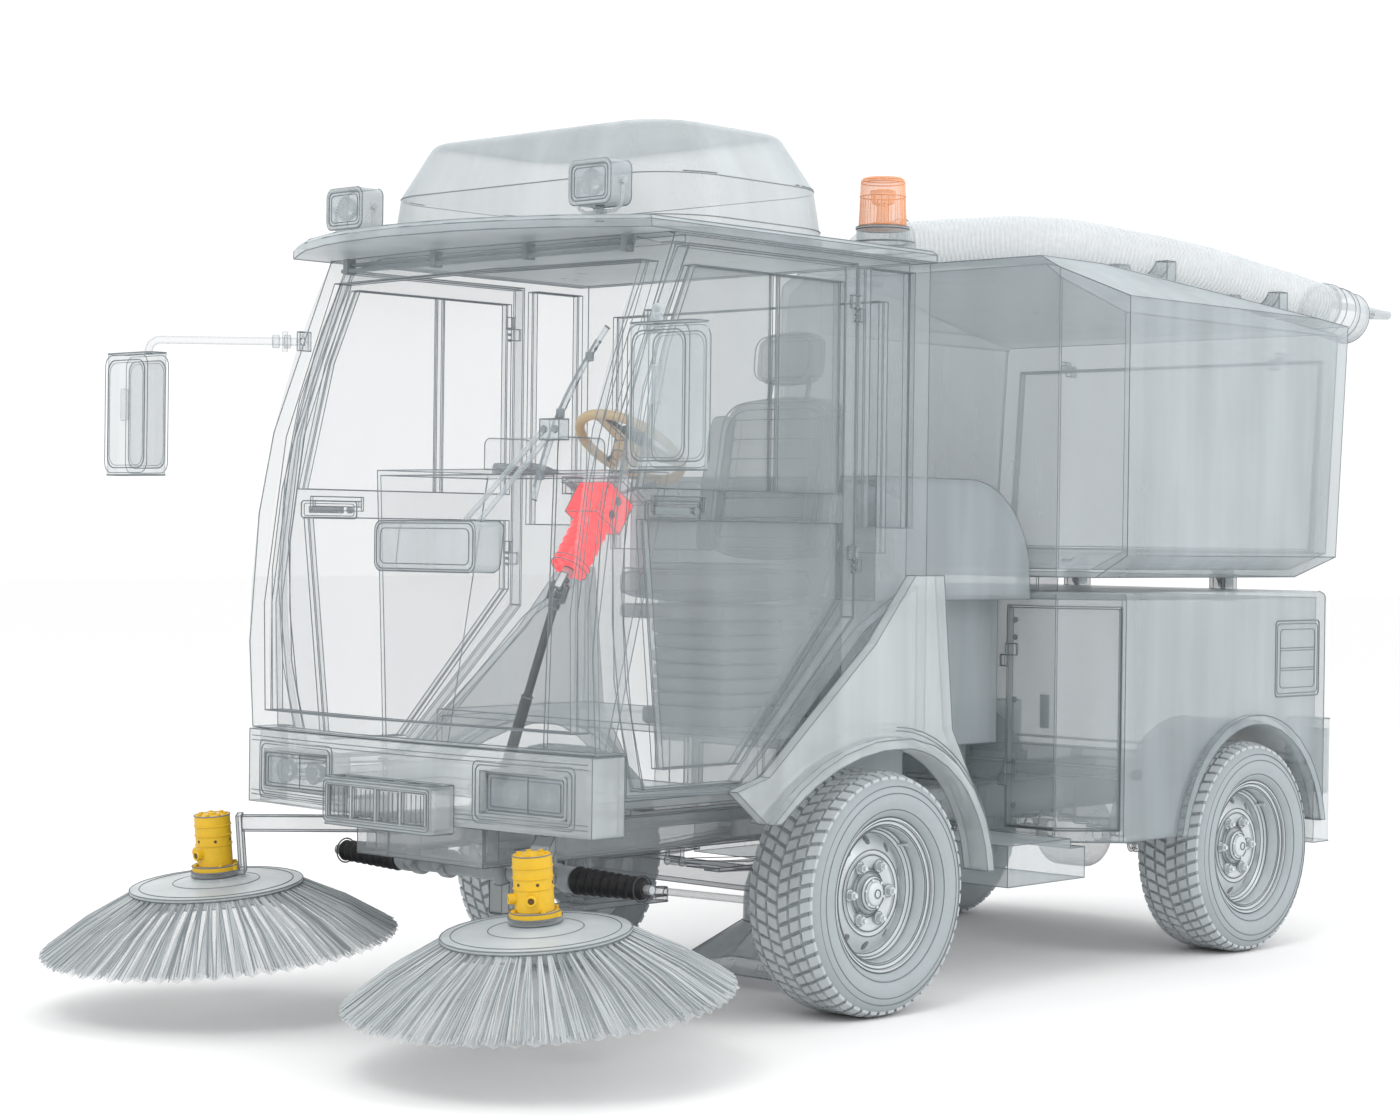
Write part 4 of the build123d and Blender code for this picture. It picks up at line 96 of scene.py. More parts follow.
SIDES = (("left", 1), ("right", -1))
ENDS = ("front", "rear")
BODY_OF = {
    node: body for body, members in frame["record"]["behaviour"]["bodies"].items() for node in members
}
UP = Vector((0, 0, 1))

# Places that several steps share
SEAT_X = 0.334
COLUMN_TOP = Vector((SEAT_X, -1.215, 1.531))
COLUMN_LEAN = math.radians(34.5)
COLUMN_DOWN = -Vector((0, math.sin(COLUMN_LEAN), math.cos(COLUMN_LEAN)))
BRUSH_UP = Vector((0, -0.095, 1)).normalized()
BUMPER_NOSE_Y = -1.7125
BUMPER_SWEEP = 0.0405
CAB_HALF = 0.668
AIR_UNIT_HALF = (0.6006, 0.3531)
AIR_UNIT_Y = -0.9925
LINE_SIDES = 4


def brush_centre(side):
    """Where a brush's disc crosses its spindle."""
    return Vector((side * 0.625, -1.815, 0.369))


def bumper_face(x):
    """Depth of the bowed front bumper's face."""
    return BUMPER_NOSE_Y + BUMPER_SWEEP * (x / CAB_HALF) ** 2


def turned(axis):
    """Rotation that carries +Z onto an axis."""
    return Vector(axis).normalized().to_track_quat("Z", "Y").to_matrix().to_4x4()


# Shader maths


class Value:
    """A socket of one shader tree, ready for sums and products."""

    def __init__(self, tree, socket):
        self.tree = tree
        self.socket = socket

    def maths(self, operation, *others, first=None):
        """Add one Math node to the tree."""
        node = self.tree.nodes.new("ShaderNodeMath")
        node.operation = operation
        values = [self, *others] if first is None else [first, self]
        for slot, value in zip(node.inputs, values):
            if isinstance(value, Value):
                self.tree.links.new(value.socket, slot)
            else:
                slot.default_value = value
        return Value(self.tree, node.outputs[0])

    def __add__(self, other):
        return self.maths("ADD", other)

    def __radd__(self, other):
        return self.maths("ADD", other)

    def __sub__(self, other):
        return self.maths("SUBTRACT", other)

    def __rsub__(self, other):
        return self.maths("SUBTRACT", first=other)

    def __mul__(self, other):
        return self.maths("MULTIPLY", other)

    def __rmul__(self, other):
        return self.maths("MULTIPLY", other)

    def __pow__(self, other):
        return self.maths("POWER", other)

    def clipped(self):
        """The value held between 0 and 1."""
        node = self.tree.nodes.new("ShaderNodeClamp")
        self.tree.links.new(self.socket, node.inputs["Value"])
        return Value(self.tree, node.outputs[0])


class Finish:
    """One material and the nodes of its shader."""

    def __init__(self, name):
        self.material = bpy.data.materials.new(name)
        self.material.use_nodes = True
        self.tree = self.material.node_tree
        self.tree.nodes.clear()

    def node(self, kind, settings=None, output=0, **inputs):
        """Add a node, make its settings, then feed its sockets; spaces in socket names are underscores."""
        node = self.tree.nodes.new(kind)
        for key, value in (settings or {}).items():
            setattr(node, key, value)
        for key, value in inputs.items():
            socket = node.inputs[key.replace("_", " ")]
            if isinstance(value, Value):
                self.tree.links.new(value.socket, socket)
            else:
                socket.default_value = value
        return Value(self.tree, node.outputs[output])

    def place(self, scale=(1, 1, 1)):
        """Object coordinates, stretched."""
        where = self.node("ShaderNodeTexCoord", output="Object")
        return self.node("ShaderNodeMapping", Vector=where, Scale=scale)

    def noise(self, scale, stretch=(1, 1, 1), detail=3.0):
        """A grey noise over the object."""
        return self.node(
            "ShaderNodeTexNoise", Vector=self.place(stretch), Scale=scale, Detail=detail, output="Fac"
        )

    def blend(self, share, low, high):
        """Mix of two colours by a share."""
        node = self.tree.nodes.new("ShaderNodeMix")
        node.data_type = "RGBA"
        self.tree.links.new(share.socket, node.inputs[0])
        for slot, colour in ((6, low), (7, high)):
            if isinstance(colour, Value):
                self.tree.links.new(colour.socket, node.inputs[slot])
            else:
                node.inputs[slot].default_value = (*colour, 1)
        return Value(self.tree, node.outputs[2])

    def bump(self, height, strength, distance=0.002):
        """A bump for a Normal socket."""
        return self.node(
            "ShaderNodeBump", Height=height, Strength=strength, Distance=distance, output="Normal"
        )

    def close(self, shader):
        """Link a shader to the output and give the material."""
        output = self.tree.nodes.new("ShaderNodeOutputMaterial")
        self.tree.links.new(shader.socket, output.inputs["Surface"])
        return self.material


def shade(colour, factor):
    """A colour made darker or lighter."""
    return tuple(min(1.0, part * factor) for part in colour)


def ghost(name, colour, clear, rim, roughness=0.35, streak=(1.0, 1.0, 0.12), depth=0.14, metal=0.0):
    """See-through drawn finish: pale streaked surface that grows denser towards its outline; its lighter
    streaks are partly painted highlights.
    """
    made = Finish(name)
    streaks = made.noise(9.0, streak, 2.0)
    cloud = made.noise(2.2, detail=1.0)
    tone = (streaks * 0.65 + cloud * 0.35).clipped()
    # Streaks lighten and darken the colour by depth: random tone, and in their lighter parts painted
    # highlight streaks.
    paint = made.blend(tone, shade(colour, 1 - depth), shade(colour, 1 + depth))
    facing = made.node("ShaderNodeLayerWeight", Blend=0.5, output="Facing")
    share = (facing**1.6 * rim + clear * (0.75 + 0.5 * tone)).clipped()
    surface = made.node(
        "ShaderNodeBsdfPrincipled",
        Base_Color=paint,
        Roughness=(tone * 0.25 + roughness).clipped(),
        Metallic=metal,
        Normal=made.bump(streaks, 0.12),
    )
    clear_shader = made.node("ShaderNodeBsdfTransparent")
    mixed = made.tree.nodes.new("ShaderNodeMixShader")
    made.tree.links.new(share.socket, mixed.inputs[0])
    made.tree.links.new(clear_shader.socket, mixed.inputs[1])
    made.tree.links.new(surface.socket, mixed.inputs[2])
    return made.close(Value(made.tree, mixed.outputs[0]))


def solid(name, colour, roughness=0.4, metal=0.0, grain=40.0, depth=0.18, bump=0.15, coat=0.0, painted_glow=0.0):
    """Opaque finish with grain, patches and wear in its colour, roughness and bump, and an optional painted
    glow in its own colour.
    """
    made = Finish(name)
    fine = made.noise(grain, detail=5.0)
    patch = made.noise(grain / 9)
    tone = (fine * 0.45 + patch * 0.55).clipped()
    paint = made.blend(tone, shade(colour, 1 - depth), shade(colour, 1 + depth))
    surface = made.node(
        "ShaderNodeBsdfPrincipled",
        Base_Color=paint,
        Roughness=(tone * 0.3 + roughness - 0.1).clipped(),
        Metallic=metal,
        Coat_Weight=coat,
        Emission_Color=paint,
        # Emission in the paint's own colour: a painted glow, as the part is no lamp.
        Emission_Strength=painted_glow,
        Normal=made.bump(fine, bump),
    )
    return made.close(surface)


# Modelling helpers


def piece(name, bm, material, body, replaces=(), smooth=30.0):
    """Turn a bmesh into a finished piece that rides on a body."""
    bm.normal_update()
    mesh = bpy.data.meshes.new(name)
    bm.to_mesh(mesh)
    bm.free()
    made = bpy.data.objects.new(name, mesh)
    bpy.context.scene.collection.objects.link(made)
    mesh.materials.append(material)
    for face in mesh.polygons:
        face.use_smooth = True
    mesh.set_sharp_from_angle(angle=math.radians(smooth))
    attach(made, body)
    if replaces:
        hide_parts(*replaces)
    return made


def add_box(bm, low, high, bevel=0.0, matrix=None):
    """Add a box between two corners, with rounded edges."""
    low, high = Vector(low), Vector(high)
    size = high - low
    place = Matrix.Translation((low + high) / 2) @ Matrix.Diagonal((*size, 1))
    if matrix is not None:
        place = matrix @ place
    verts = bmesh.ops.create_cube(bm, size=1.0, matrix=place)["verts"]
    if bevel:
        edges = list({edge for vert in verts for edge in vert.link_edges})
        bmesh.ops.bevel(
            bm, geom=edges, offset=bevel, offset_type="OFFSET",
            affect="EDGES", segments=2, profile=0.5, material=-1,
        )
    return verts


def add_rod(bm, start, end, radius, segments=12, end_radius=None):
    """Add a round rod between two points."""
    start, end = Vector(start), Vector(end)
    run = end - start
    bmesh.ops.create_cone(
        bm,
        cap_ends=True,
        segments=segments,
        radius1=radius,
        radius2=radius if end_radius is None else end_radius,
        depth=run.length,
        matrix=Matrix.Translation((start + end) / 2) @ turned(run),
    )


def add_ring(bm, centre, axis, radius, thick, around=40, section=8):
    """Add a torus about an axis."""
    centre, axis = Vector(centre), Vector(axis).normalized()
    out = axis.orthogonal().normalized()
    tangent = axis.cross(out)
    matrix = Matrix.Translation(centre + out * radius) @ turned(tangent)
    made = bmesh.ops.create_circle(bm, segments=section, radius=thick, matrix=matrix)
    edges = list({edge for vert in made["verts"] for edge in vert.link_edges})
    bmesh.ops.spin(
        bm, geom=made["verts"] + edges, cent=centre, axis=axis, angle=math.tau, steps=around, use_merge=True
    )


def add_spun(bm, centre, axis, outline, steps=48):
    """Revolve an outline of (along, out) places about an axis, closed where it meets the axis."""
    centre, axis = Vector(centre), Vector(axis).normalized()
    out = axis.orthogonal().normalized()
    verts = [bm.verts.new(centre + axis * along + out * radius) for along, radius in outline]
    edges = [bm.edges.new(pair) for pair in zip(verts, verts[1:])]
    bmesh.ops.spin(
        bm, geom=verts + edges, cent=centre, axis=axis, angle=math.tau, steps=steps, use_merge=True
    )
    bmesh.ops.remove_doubles(bm, verts=bm.verts, dist=1e-5)
    bmesh.ops.recalc_face_normals(bm, faces=bm.faces)


def add_bolts(bm, centre, axis, circle, count, radius, height, start=0.0):
    """Add a circle of hexagon heads that stand out along an axis."""
    centre, axis = Vector(centre), Vector(axis).normalized()
    out = axis.orthogonal().normalized()
    for number in range(count):
        spoke = Matrix.Rotation(start + math.tau * number / count, 3, axis) @ out
        foot = centre + spoke * circle
        add_rod(bm, foot, foot + axis * height, radius, 6)


# Sizes and colours that a user would change


class SweeperSizes(bpy.types.PropertyGroup):
    """Sizes of the finishing pieces."""

    line_width: bpy.props.FloatProperty(
        name="Line width", description="Radius of the drawn edge lines", default=0.0017, unit="LENGTH"
    )
    line_angle: bpy.props.FloatProperty(
        name="Line angle",
        description="Edges sharper than this are drawn",
        default=math.radians(24),
        subtype="ANGLE",
    )
    tread_depth: bpy.props.FloatProperty(
        name="Tread depth", description="Depth of the tyre grooves", default=0.009, unit="LENGTH"
    )
    tread_blocks: bpy.props.IntProperty(
        name="Tread blocks", description="Blocks round one tyre", default=54, min=12
    )
    strand_rows: bpy.props.IntProperty(
        name="Bristle strands", description="Strands round one brush", default=420, min=60
    )
    rib_pitch: bpy.props.FloatProperty(
        name="Hose rib pitch", description="Distance between the hose's ribs", default=0.016, unit="LENGTH"
    )
    lens: bpy.props.FloatProperty(name="Camera lens", description="Focal length", default=72.69)
    camera_place: bpy.props.FloatVectorProperty(
        name="Camera place",
        description="Where the camera stands",
        default=(5.531, -6.504, 1.298),
        unit="LENGTH",
    )
    camera_turn: bpy.props.FloatVectorProperty(
        name="Camera turn",
        description="Azimuth, height angle and roll of the camera",
        default=(math.radians(43.055), math.radians(0.465), math.radians(0.715)),
        subtype="EULER",
    )
    floor_half: bpy.props.FloatProperty(
        name="Floor half", description="Half the side of the floor", default=60.0, unit="LENGTH"
    )


def colour_property(name, description, default):
    """A colour that the user may change."""
    return bpy.props.FloatVectorProperty(
        name=name, description=description, default=default, size=3, min=0, max=1, subtype="COLOR"
    )


class SweeperColours(bpy.types.PropertyGroup):
    """Colours of the sweeper's finishes."""

    panel: colour_property("Panels", "Pale see-through panels", (0.47, 0.525, 0.55))
    pale: colour_property("Pale parts", "Wheels, fenders and bumper", (0.60, 0.645, 0.66))
    glass: colour_property("Glass", "Cool tinted panes", (0.42, 0.47, 0.50))
    line: colour_property("Lines", "Drawn edges", (0.16, 0.185, 0.20))
    steel: colour_property("Steel", "Frame and axle parts", (0.46, 0.50, 0.52))
    shaft: colour_property("Shaft", "Steering shaft and joints", (0.075, 0.08, 0.085))
    unit: colour_property("Steering unit", "Gloss red paint", (0.72, 0.004, 0.008))
    motor: colour_property("Brush motors", "Yellow paint", (0.72, 0.44, 0.012))
    rim: colour_property("Steering wheel", "Tan grip", (0.48, 0.36, 0.20))
    rubber: colour_property("Bellows", "Black rubber", (0.012, 0.012, 0.014))
    beacon: colour_property("Beacon", "Clear orange", (0.92, 0.36, 0.14))
    floor: colour_property("Floor", "Plain pale floor", (0.93, 0.93, 0.93))


def sizes():
    """The sizes that the user set."""
    return bpy.context.scene.sweeper_sizes


def colours():
    """The colours that the user set."""
    return bpy.context.scene.sweeper_colours


# finish: material, colour or colour property, share of paint, more of it at the rim, other settings
# A ghost's depth sets how far its streaks lighten and darken the colour; the larger depths, 0.30 and more,
# partly paint highlight streaks.
GHOSTS = {
    "panel": ("panel_paint", "panel", 0.28, 0.60, {"roughness": 0.22, "depth": 0.32}),
    "pale": ("pale_paint", "pale", 0.34, 0.55, {"roughness": 0.2, "depth": 0.30}),
    "glass": ("pane_glass", "glass", 0.05, 0.22, {"roughness": 0.08, "depth": 0.05}),
    # The left door pane is darker and denser than the other panes: painted shade of the cab's interior behind
    # it.
    "shaded_side_glass": ("side_pane", (0.33, 0.37, 0.385), 0.36, 0.30, {"roughness": 0.08, "depth": 0.30}),
    "lens": ("lamp_lens", "glass", 0.42, 0.45, {"roughness": 0.12}),
    "beacon": ("beacon_lens", "beacon", 0.36, 0.50, {"roughness": 0.15, "streak": (1, 1, 6)}),
    "beacon_core": ("beacon_core", (0.88, 0.46, 0.24), 0.34, 0.40, {}),
    "frame": ("frame_paint", "steel", 0.27, 0.50, {"roughness": 0.3, "depth": 0.25}),
    "dark": ("dark_plastic", (0.27, 0.31, 0.33), 0.62, 0.35, {"roughness": 0.45}),
    "cloth": ("seat_cloth", (0.24, 0.28, 0.30), 0.40, 0.40, {"roughness": 0.7, "streak": (30, 30, 30)}),
    "hose": ("hose_plastic", (0.66, 0.70, 0.72), 0.40, 0.60, {"roughness": 0.3, "streak": (0.1, 4, 4)}),
    "hose_end": ("hose_fitting", (0.58, 0.62, 0.64), 0.46, 0.50, {"roughness": 0.3}),
    "bristle": ("bristle_strand", (0.66, 0.70, 0.715), 0.62, 0.30, {"roughness": 0.4}),
    "bristle_dark": ("bristle_quill", (0.36, 0.40, 0.42), 0.55, 0.38, {"roughness": 0.5}),
    "veil": ("bristle_veil", (0.60, 0.64, 0.66), 0.16, 0.30, {"streak": (3, 3, 0.6)}),
    "cast": ("cast_metal", (0.44, 0.48, 0.50), 0.72, 0.28, {"roughness": 0.35, "streak": (3, 3, 3)}),
    "bright": ("bright_steel", (0.62, 0.65, 0.66), 0.75, 0.25, {"roughness": 0.2, "metal": 0.5}),
    "cab": ("cab_paint", "panel", 0.07, 0.55, {"roughness": 0.2, "depth": 0.35}),
    "roof": ("roof_paint", "panel", 0.30, 0.65, {"roughness": 0.2, "depth": 0.35}),
    "hopper": ("hopper_paint", (0.41, 0.465, 0.49), 0.31, 0.55, {"roughness": 0.2, "depth": 0.35}),
    "mirror": ("mirror_glass", (0.60, 0.64, 0.66), 0.14, 0.40, {"roughness": 0.06, "metal": 0.5}),
    "mirror_shell": ("mirror_shell", "panel", 0.11, 0.85, {"roughness": 0.2, "depth": 0.35}),
    "dash": ("dash_plastic", "panel", 0.05, 0.30, {"roughness": 0.3, "depth": 0.35}),
}

# finish: material, colour or colour property, roughness, other settings
SOLIDS = {
    "tyre": ("tyre_rubber", (0.50, 0.54, 0.56), 0.65, {"grain": 60, "bump": 0.3}),
    # The tyre carcass, sidewalls included, is darker than the tread blocks: painted shade in the grooves
    # between them.
    "tyre_groove": ("tyre_groove", (0.36, 0.40, 0.42), 0.7, {"grain": 60, "depth": 0.12}),
    "wheel": ("wheel_paint", (0.62, 0.66, 0.68), 0.35, {"metal": 0.2, "grain": 24, "coat": 0.2}),
    "shaft": ("shaft_steel", "shaft", 0.42, {"metal": 0.5, "grain": 80, "depth": 0.3}),
    # The red unit and the tan steering wheel glow: painted light, as neither is a lamp.
    "unit": ("unit_red", "unit", 0.28, {"grain": 70, "depth": 0.14, "bump": 0.08, "coat": 0.5, "painted_glow": 1.6}),
    # Near-black red for the steering unit's port openings: painted shade inside the holes.
    "port": ("port_dark", (0.03, 0.004, 0.004), 0.5, {"grain": 90, "depth": 0.4}),
    "motor": ("motor_yellow", "motor", 0.42, {"grain": 70, "depth": 0.22, "bump": 0.2}),
    # Dark brown for the motors' port openings and holes: painted shade inside them.
    "motor_hole_shade": ("motor_port", (0.10, 0.05, 0.004), 0.5, {"grain": 90, "depth": 0.4}),
    "rim": ("rim_tan", "rim", 0.5, {"grain": 120, "depth": 0.15, "painted_glow": 0.25}),
    "rubber": ("bellows_rubber", "rubber", 0.5, {"grain": 120, "depth": 0.4}),
    "line": ("drawn_line", "line", 0.7, {"grain": 30, "depth": 0.35, "bump": 0.0}),
    "beacon_line": ("beacon_rib", (0.62, 0.26, 0.12), 0.5, {"grain": 50}),
}

# how the nodes of each finish begin; the others are panels
NODE_STARTS = {
    "tyre": ("tyre_",),
    "wheel": ("wheel_",),
    "frame": ("chassis_frame", "axles", "leaf_springs", "relay_lever", "tie_rod", "knuckle", "brush_arm"),
    "hopper": ("hopper", "service_door", "engine_cover", "rear_body"),
    "cab": ("cab_shell", "cab_floor", "cab_door"),
    "roof": ("cab_roof", "roof_air_unit", "windscreen_wiper"),
    "pale": ("front_bumper", "front_fenders", "rear_bumper", "brush_disc"),
    "glass": ("cab_glass", "door_glass_right"),
    "shaded_side_glass": ("door_glass_left",),
    "bright": ("steering_rack", "steering_column"),
    "shaft": ("steering_shaft", "steering_pinion"),
    "rim": ("steering_wheel",),
    "unit": ("steering_unit",),
    "cast": ("rack_housing",),
    "rubber": ("rack_bellows",),
    "lens": ("lamps",),
    "beacon": ("beacon_lens",),
    "hose": ("suction_hose",),
    "mirror_shell": ("mirrors",),
    "cloth": ("driver_seat",),
    "dash": ("dashboard",),
    "motor": ("brush_motor",),
    "bristle": ("brush_bristles",),
}

MADE = {}


def finish(name):
    """A finish by name, made when it is first asked for."""
    if name not in MADE:
        make, table = (ghost, GHOSTS) if name in GHOSTS else (solid, SOLIDS)
        label, colour, *amounts, settings = table[name]
        if isinstance(colour, str):
            colour = tuple(getattr(colours(), colour))
        MADE[name] = make(label, colour, *amounts, **settings)
    return MADE[name]


def finish_of(node):
    """The finish of a carried-over node."""
    kinds = [kind for kind, starts in NODE_STARTS.items() if node.startswith(starts)]
    return kinds[0] if kinds else "panel"


class SWEEPER_OT_parts(bpy.types.Operator):
    """Give every carried-over part its finish"""

    bl_idname = "sweeper.parts"
    bl_label = "Finish the parts"

    def execute(self, context):
        for name, part in nodes.items():
            part.data.materials.clear()
            part.data.materials.append(finish(finish_of(name)))
        return {"FINISHED"}


UNDRAWN = ("tyre_", "brush_bristles", "driver_seat", "rack_bellows", "beacon", "wheel_", "suction_hose")


def drawn_edges(members, width, angle):
    """Thin round lines along the sharp edges of some nodes, as one bmesh."""
    lines = bpy.data.meshes.new("lines")
    gathered = bmesh.new()
    for name in members:
        bm = bmesh.new()
        bm.from_mesh(nodes[name].data)
        bmesh.ops.remove_doubles(bm, verts=bm.verts, dist=1e-5)
        flat = [e.index for e in bm.edges if len(e.link_faces) == 2 and e.calc_face_angle(0) < angle]
        bm.edges.ensure_lookup_table()
        gone = [bm.edges[index] for index in flat]
        bmesh.ops.delete(bm, geom=bm.faces[:], context="FACES_ONLY")
        bmesh.ops.delete(bm, geom=gone, context="EDGES")
        loose = [v for v in bm.verts if not v.link_edges]
        bmesh.ops.delete(bm, geom=loose, context="VERTS")
        bmesh.ops.dissolve_limit(bm, angle_limit=math.radians(7), verts=bm.verts[:], edges=bm.edges[:])
        bm.to_mesh(lines)
        gathered.from_mesh(lines)
        bm.free()
    gathered.to_mesh(lines)
    gathered.free()
    drawn = bpy.data.objects.new("lines", lines)
    bpy.context.scene.collection.objects.link(drawn)
    bpy.ops.object.select_all(action="DESELECT")
    drawn.select_set(True)
    bpy.context.view_layer.objects.active = drawn
    bpy.ops.object.convert(target="CURVE")
    drawn.data.bevel_depth = width
    drawn.data.bevel_resolution = 0
    bpy.ops.object.convert(target="MESH")
    bm = bmesh.new()
    bm.from_mesh(drawn.data)
    bpy.data.objects.remove(drawn)
    for vert in bm.verts:
        for axis in range(3):
            vert.co[axis] = min(max(vert.co[axis], cad_low[axis]), cad_high[axis])
    return bm


class SWEEPER_OT_lines(bpy.types.Operator):
    """Draw the sharp edges of the parts as fine lines"""

    bl_idname = "sweeper.lines"
    bl_label = "Draw the edges"

    def execute(self, context):
        for body, members in frame["record"]["behaviour"]["bodies"].items():
            drawn = [name for name in members if not name.startswith(UNDRAWN)]
            if not drawn:
                continue
            bm = drawn_edges(drawn, sizes().line_width, sizes().line_angle)
            draw_lines(f"edge_lines_{body}", bm, body)
        return {"FINISHED"}


def draw_lines(name, bm, body="chassis"):
    """Turn a bmesh of drawn lines into a piece."""
    piece(name, bm, finish("line"), body)


def squared(way, axis):
    """A direction made square to an axis."""
    return (way - axis * way.dot(axis)).normalized()


def frame_of(origin, across, upward):
    """Matrix of a flat face from its origin and two directions."""
    across = Vector(across).normalized()
    out = across.cross(Vector(upward)).normalized()
    upward = out.cross(across)
    made = Matrix((across, upward, out)).transposed().to_4x4()
    made.translation = Vector(origin)
    return made


def rounded_rectangle(half_width, half_height, radius, steps=5):
    """Places round a rectangle with rounded corners."""
    places = []
    for number, (sx, sy) in enumerate(((1, 1), (-1, 1), (-1, -1), (1, -1))):
        for step in range(steps + 1):
            angle = math.pi / 2 * (number + step / steps)
            places.append(
                (
                    sx * (half_width - radius) + radius * math.cos(angle),
                    sy * (half_height - radius) + radius * math.sin(angle),
                )
            )
    return places


def add_loop(bm, matrix, places, thick, section=6):
    """Add a closed round bead through flat places."""
    points = [matrix @ Vector((x, y, 0)) for x, y in places]
    add_tube(bm, points, thick, section, closed=True)


def add_loops(bm, matrix, loops):
    """Draw rounded rectangles from a table of half width, half height, corner radius, line radius."""
    for half_wide, half_high, corner, thick in loops:
        add_loop(bm, matrix, rounded_rectangle(half_wide, half_high, corner), thick, LINE_SIDES)


def add_tube(bm, points, radius, section=8, closed=False):
    """Add a round tube through points; one radius or one for each point."""
    count = len(points)
    radii = radius if isinstance(radius, (list, tuple)) else [radius] * count
    rings = []
    side = None
    for number, point in enumerate(points):
        before = points[number - 1] if number or closed else point
        after = points[(number + 1) % count] if number < count - 1 or closed else point
        run = (after - before).normalized()
        if side is None:
            side = run.orthogonal().normalized()
        side = (side - run * side.dot(run)).normalized()
        other = run.cross(side)
        matrix = Matrix((side, other, run)).transposed().to_4x4()
        matrix.translation = point
        made = bmesh.ops.create_circle(bm, segments=section, radius=radii[number], matrix=matrix)
        rings.append(made["verts"])
    pairs = list(zip(rings, rings[1:]))
    if closed:
        pairs.append((rings[-1], rings[0]))
    for first, second in pairs:
        edges = set()
        for ring in (first, second):
            members = set(ring)
            edges.update(e for v in ring for e in v.link_edges if e.other_vert(v) in members)
        bmesh.ops.bridge_loops(bm, edges=list(edges))
    if not closed:
        bmesh.ops.contextual_create(bm, geom=rings[0])
        bmesh.ops.contextual_create(bm, geom=rings[-1])


def add_plate(bm, matrix, places, thick):
    """Add a flat plate with an outline, standing out along the face's direction."""
    verts = [bm.verts.new(matrix @ Vector((x, y, 0))) for x, y in places]
    face = bm.faces.new(verts)
    made = bmesh.ops.extrude_face_region(bm, geom=[face])
    grown = [item for item in made["geom"] if isinstance(item, bmesh.types.BMVert)]
    bmesh.ops.translate(bm, verts=grown, vec=matrix.to_3x3() @ Vector((0, 0, thick)))


def mesh_of(curve):
    """Mesh of a curve, which is then dropped."""
    drawn = bpy.data.objects.new(curve.name, curve)
    bpy.context.scene.collection.objects.link(drawn)
    bpy.context.view_layer.update()
    mesh = bpy.data.meshes.new_from_object(drawn.evaluated_get(bpy.context.evaluated_depsgraph_get()))
    bpy.data.objects.remove(drawn)
    bpy.data.curves.remove(curve)
    return mesh


def smooth_path(places, count):
    """Points along a smooth spline through some places."""
    curve = bpy.data.curves.new("path", "CURVE")
    curve.dimensions = "3D"
    spline = curve.splines.new("BEZIER")
    spline.bezier_points.add(len(places) - 1)
    for point, place in zip(spline.bezier_points, places):
        point.co = place
        point.handle_left_type = point.handle_right_type = "AUTO"
    spline.resolution_u = max(2, count // (len(places) - 1))
    mesh = mesh_of(curve)
    points = [vert.co.copy() for vert in mesh.vertices]
    bpy.data.meshes.remove(mesh)
    return points


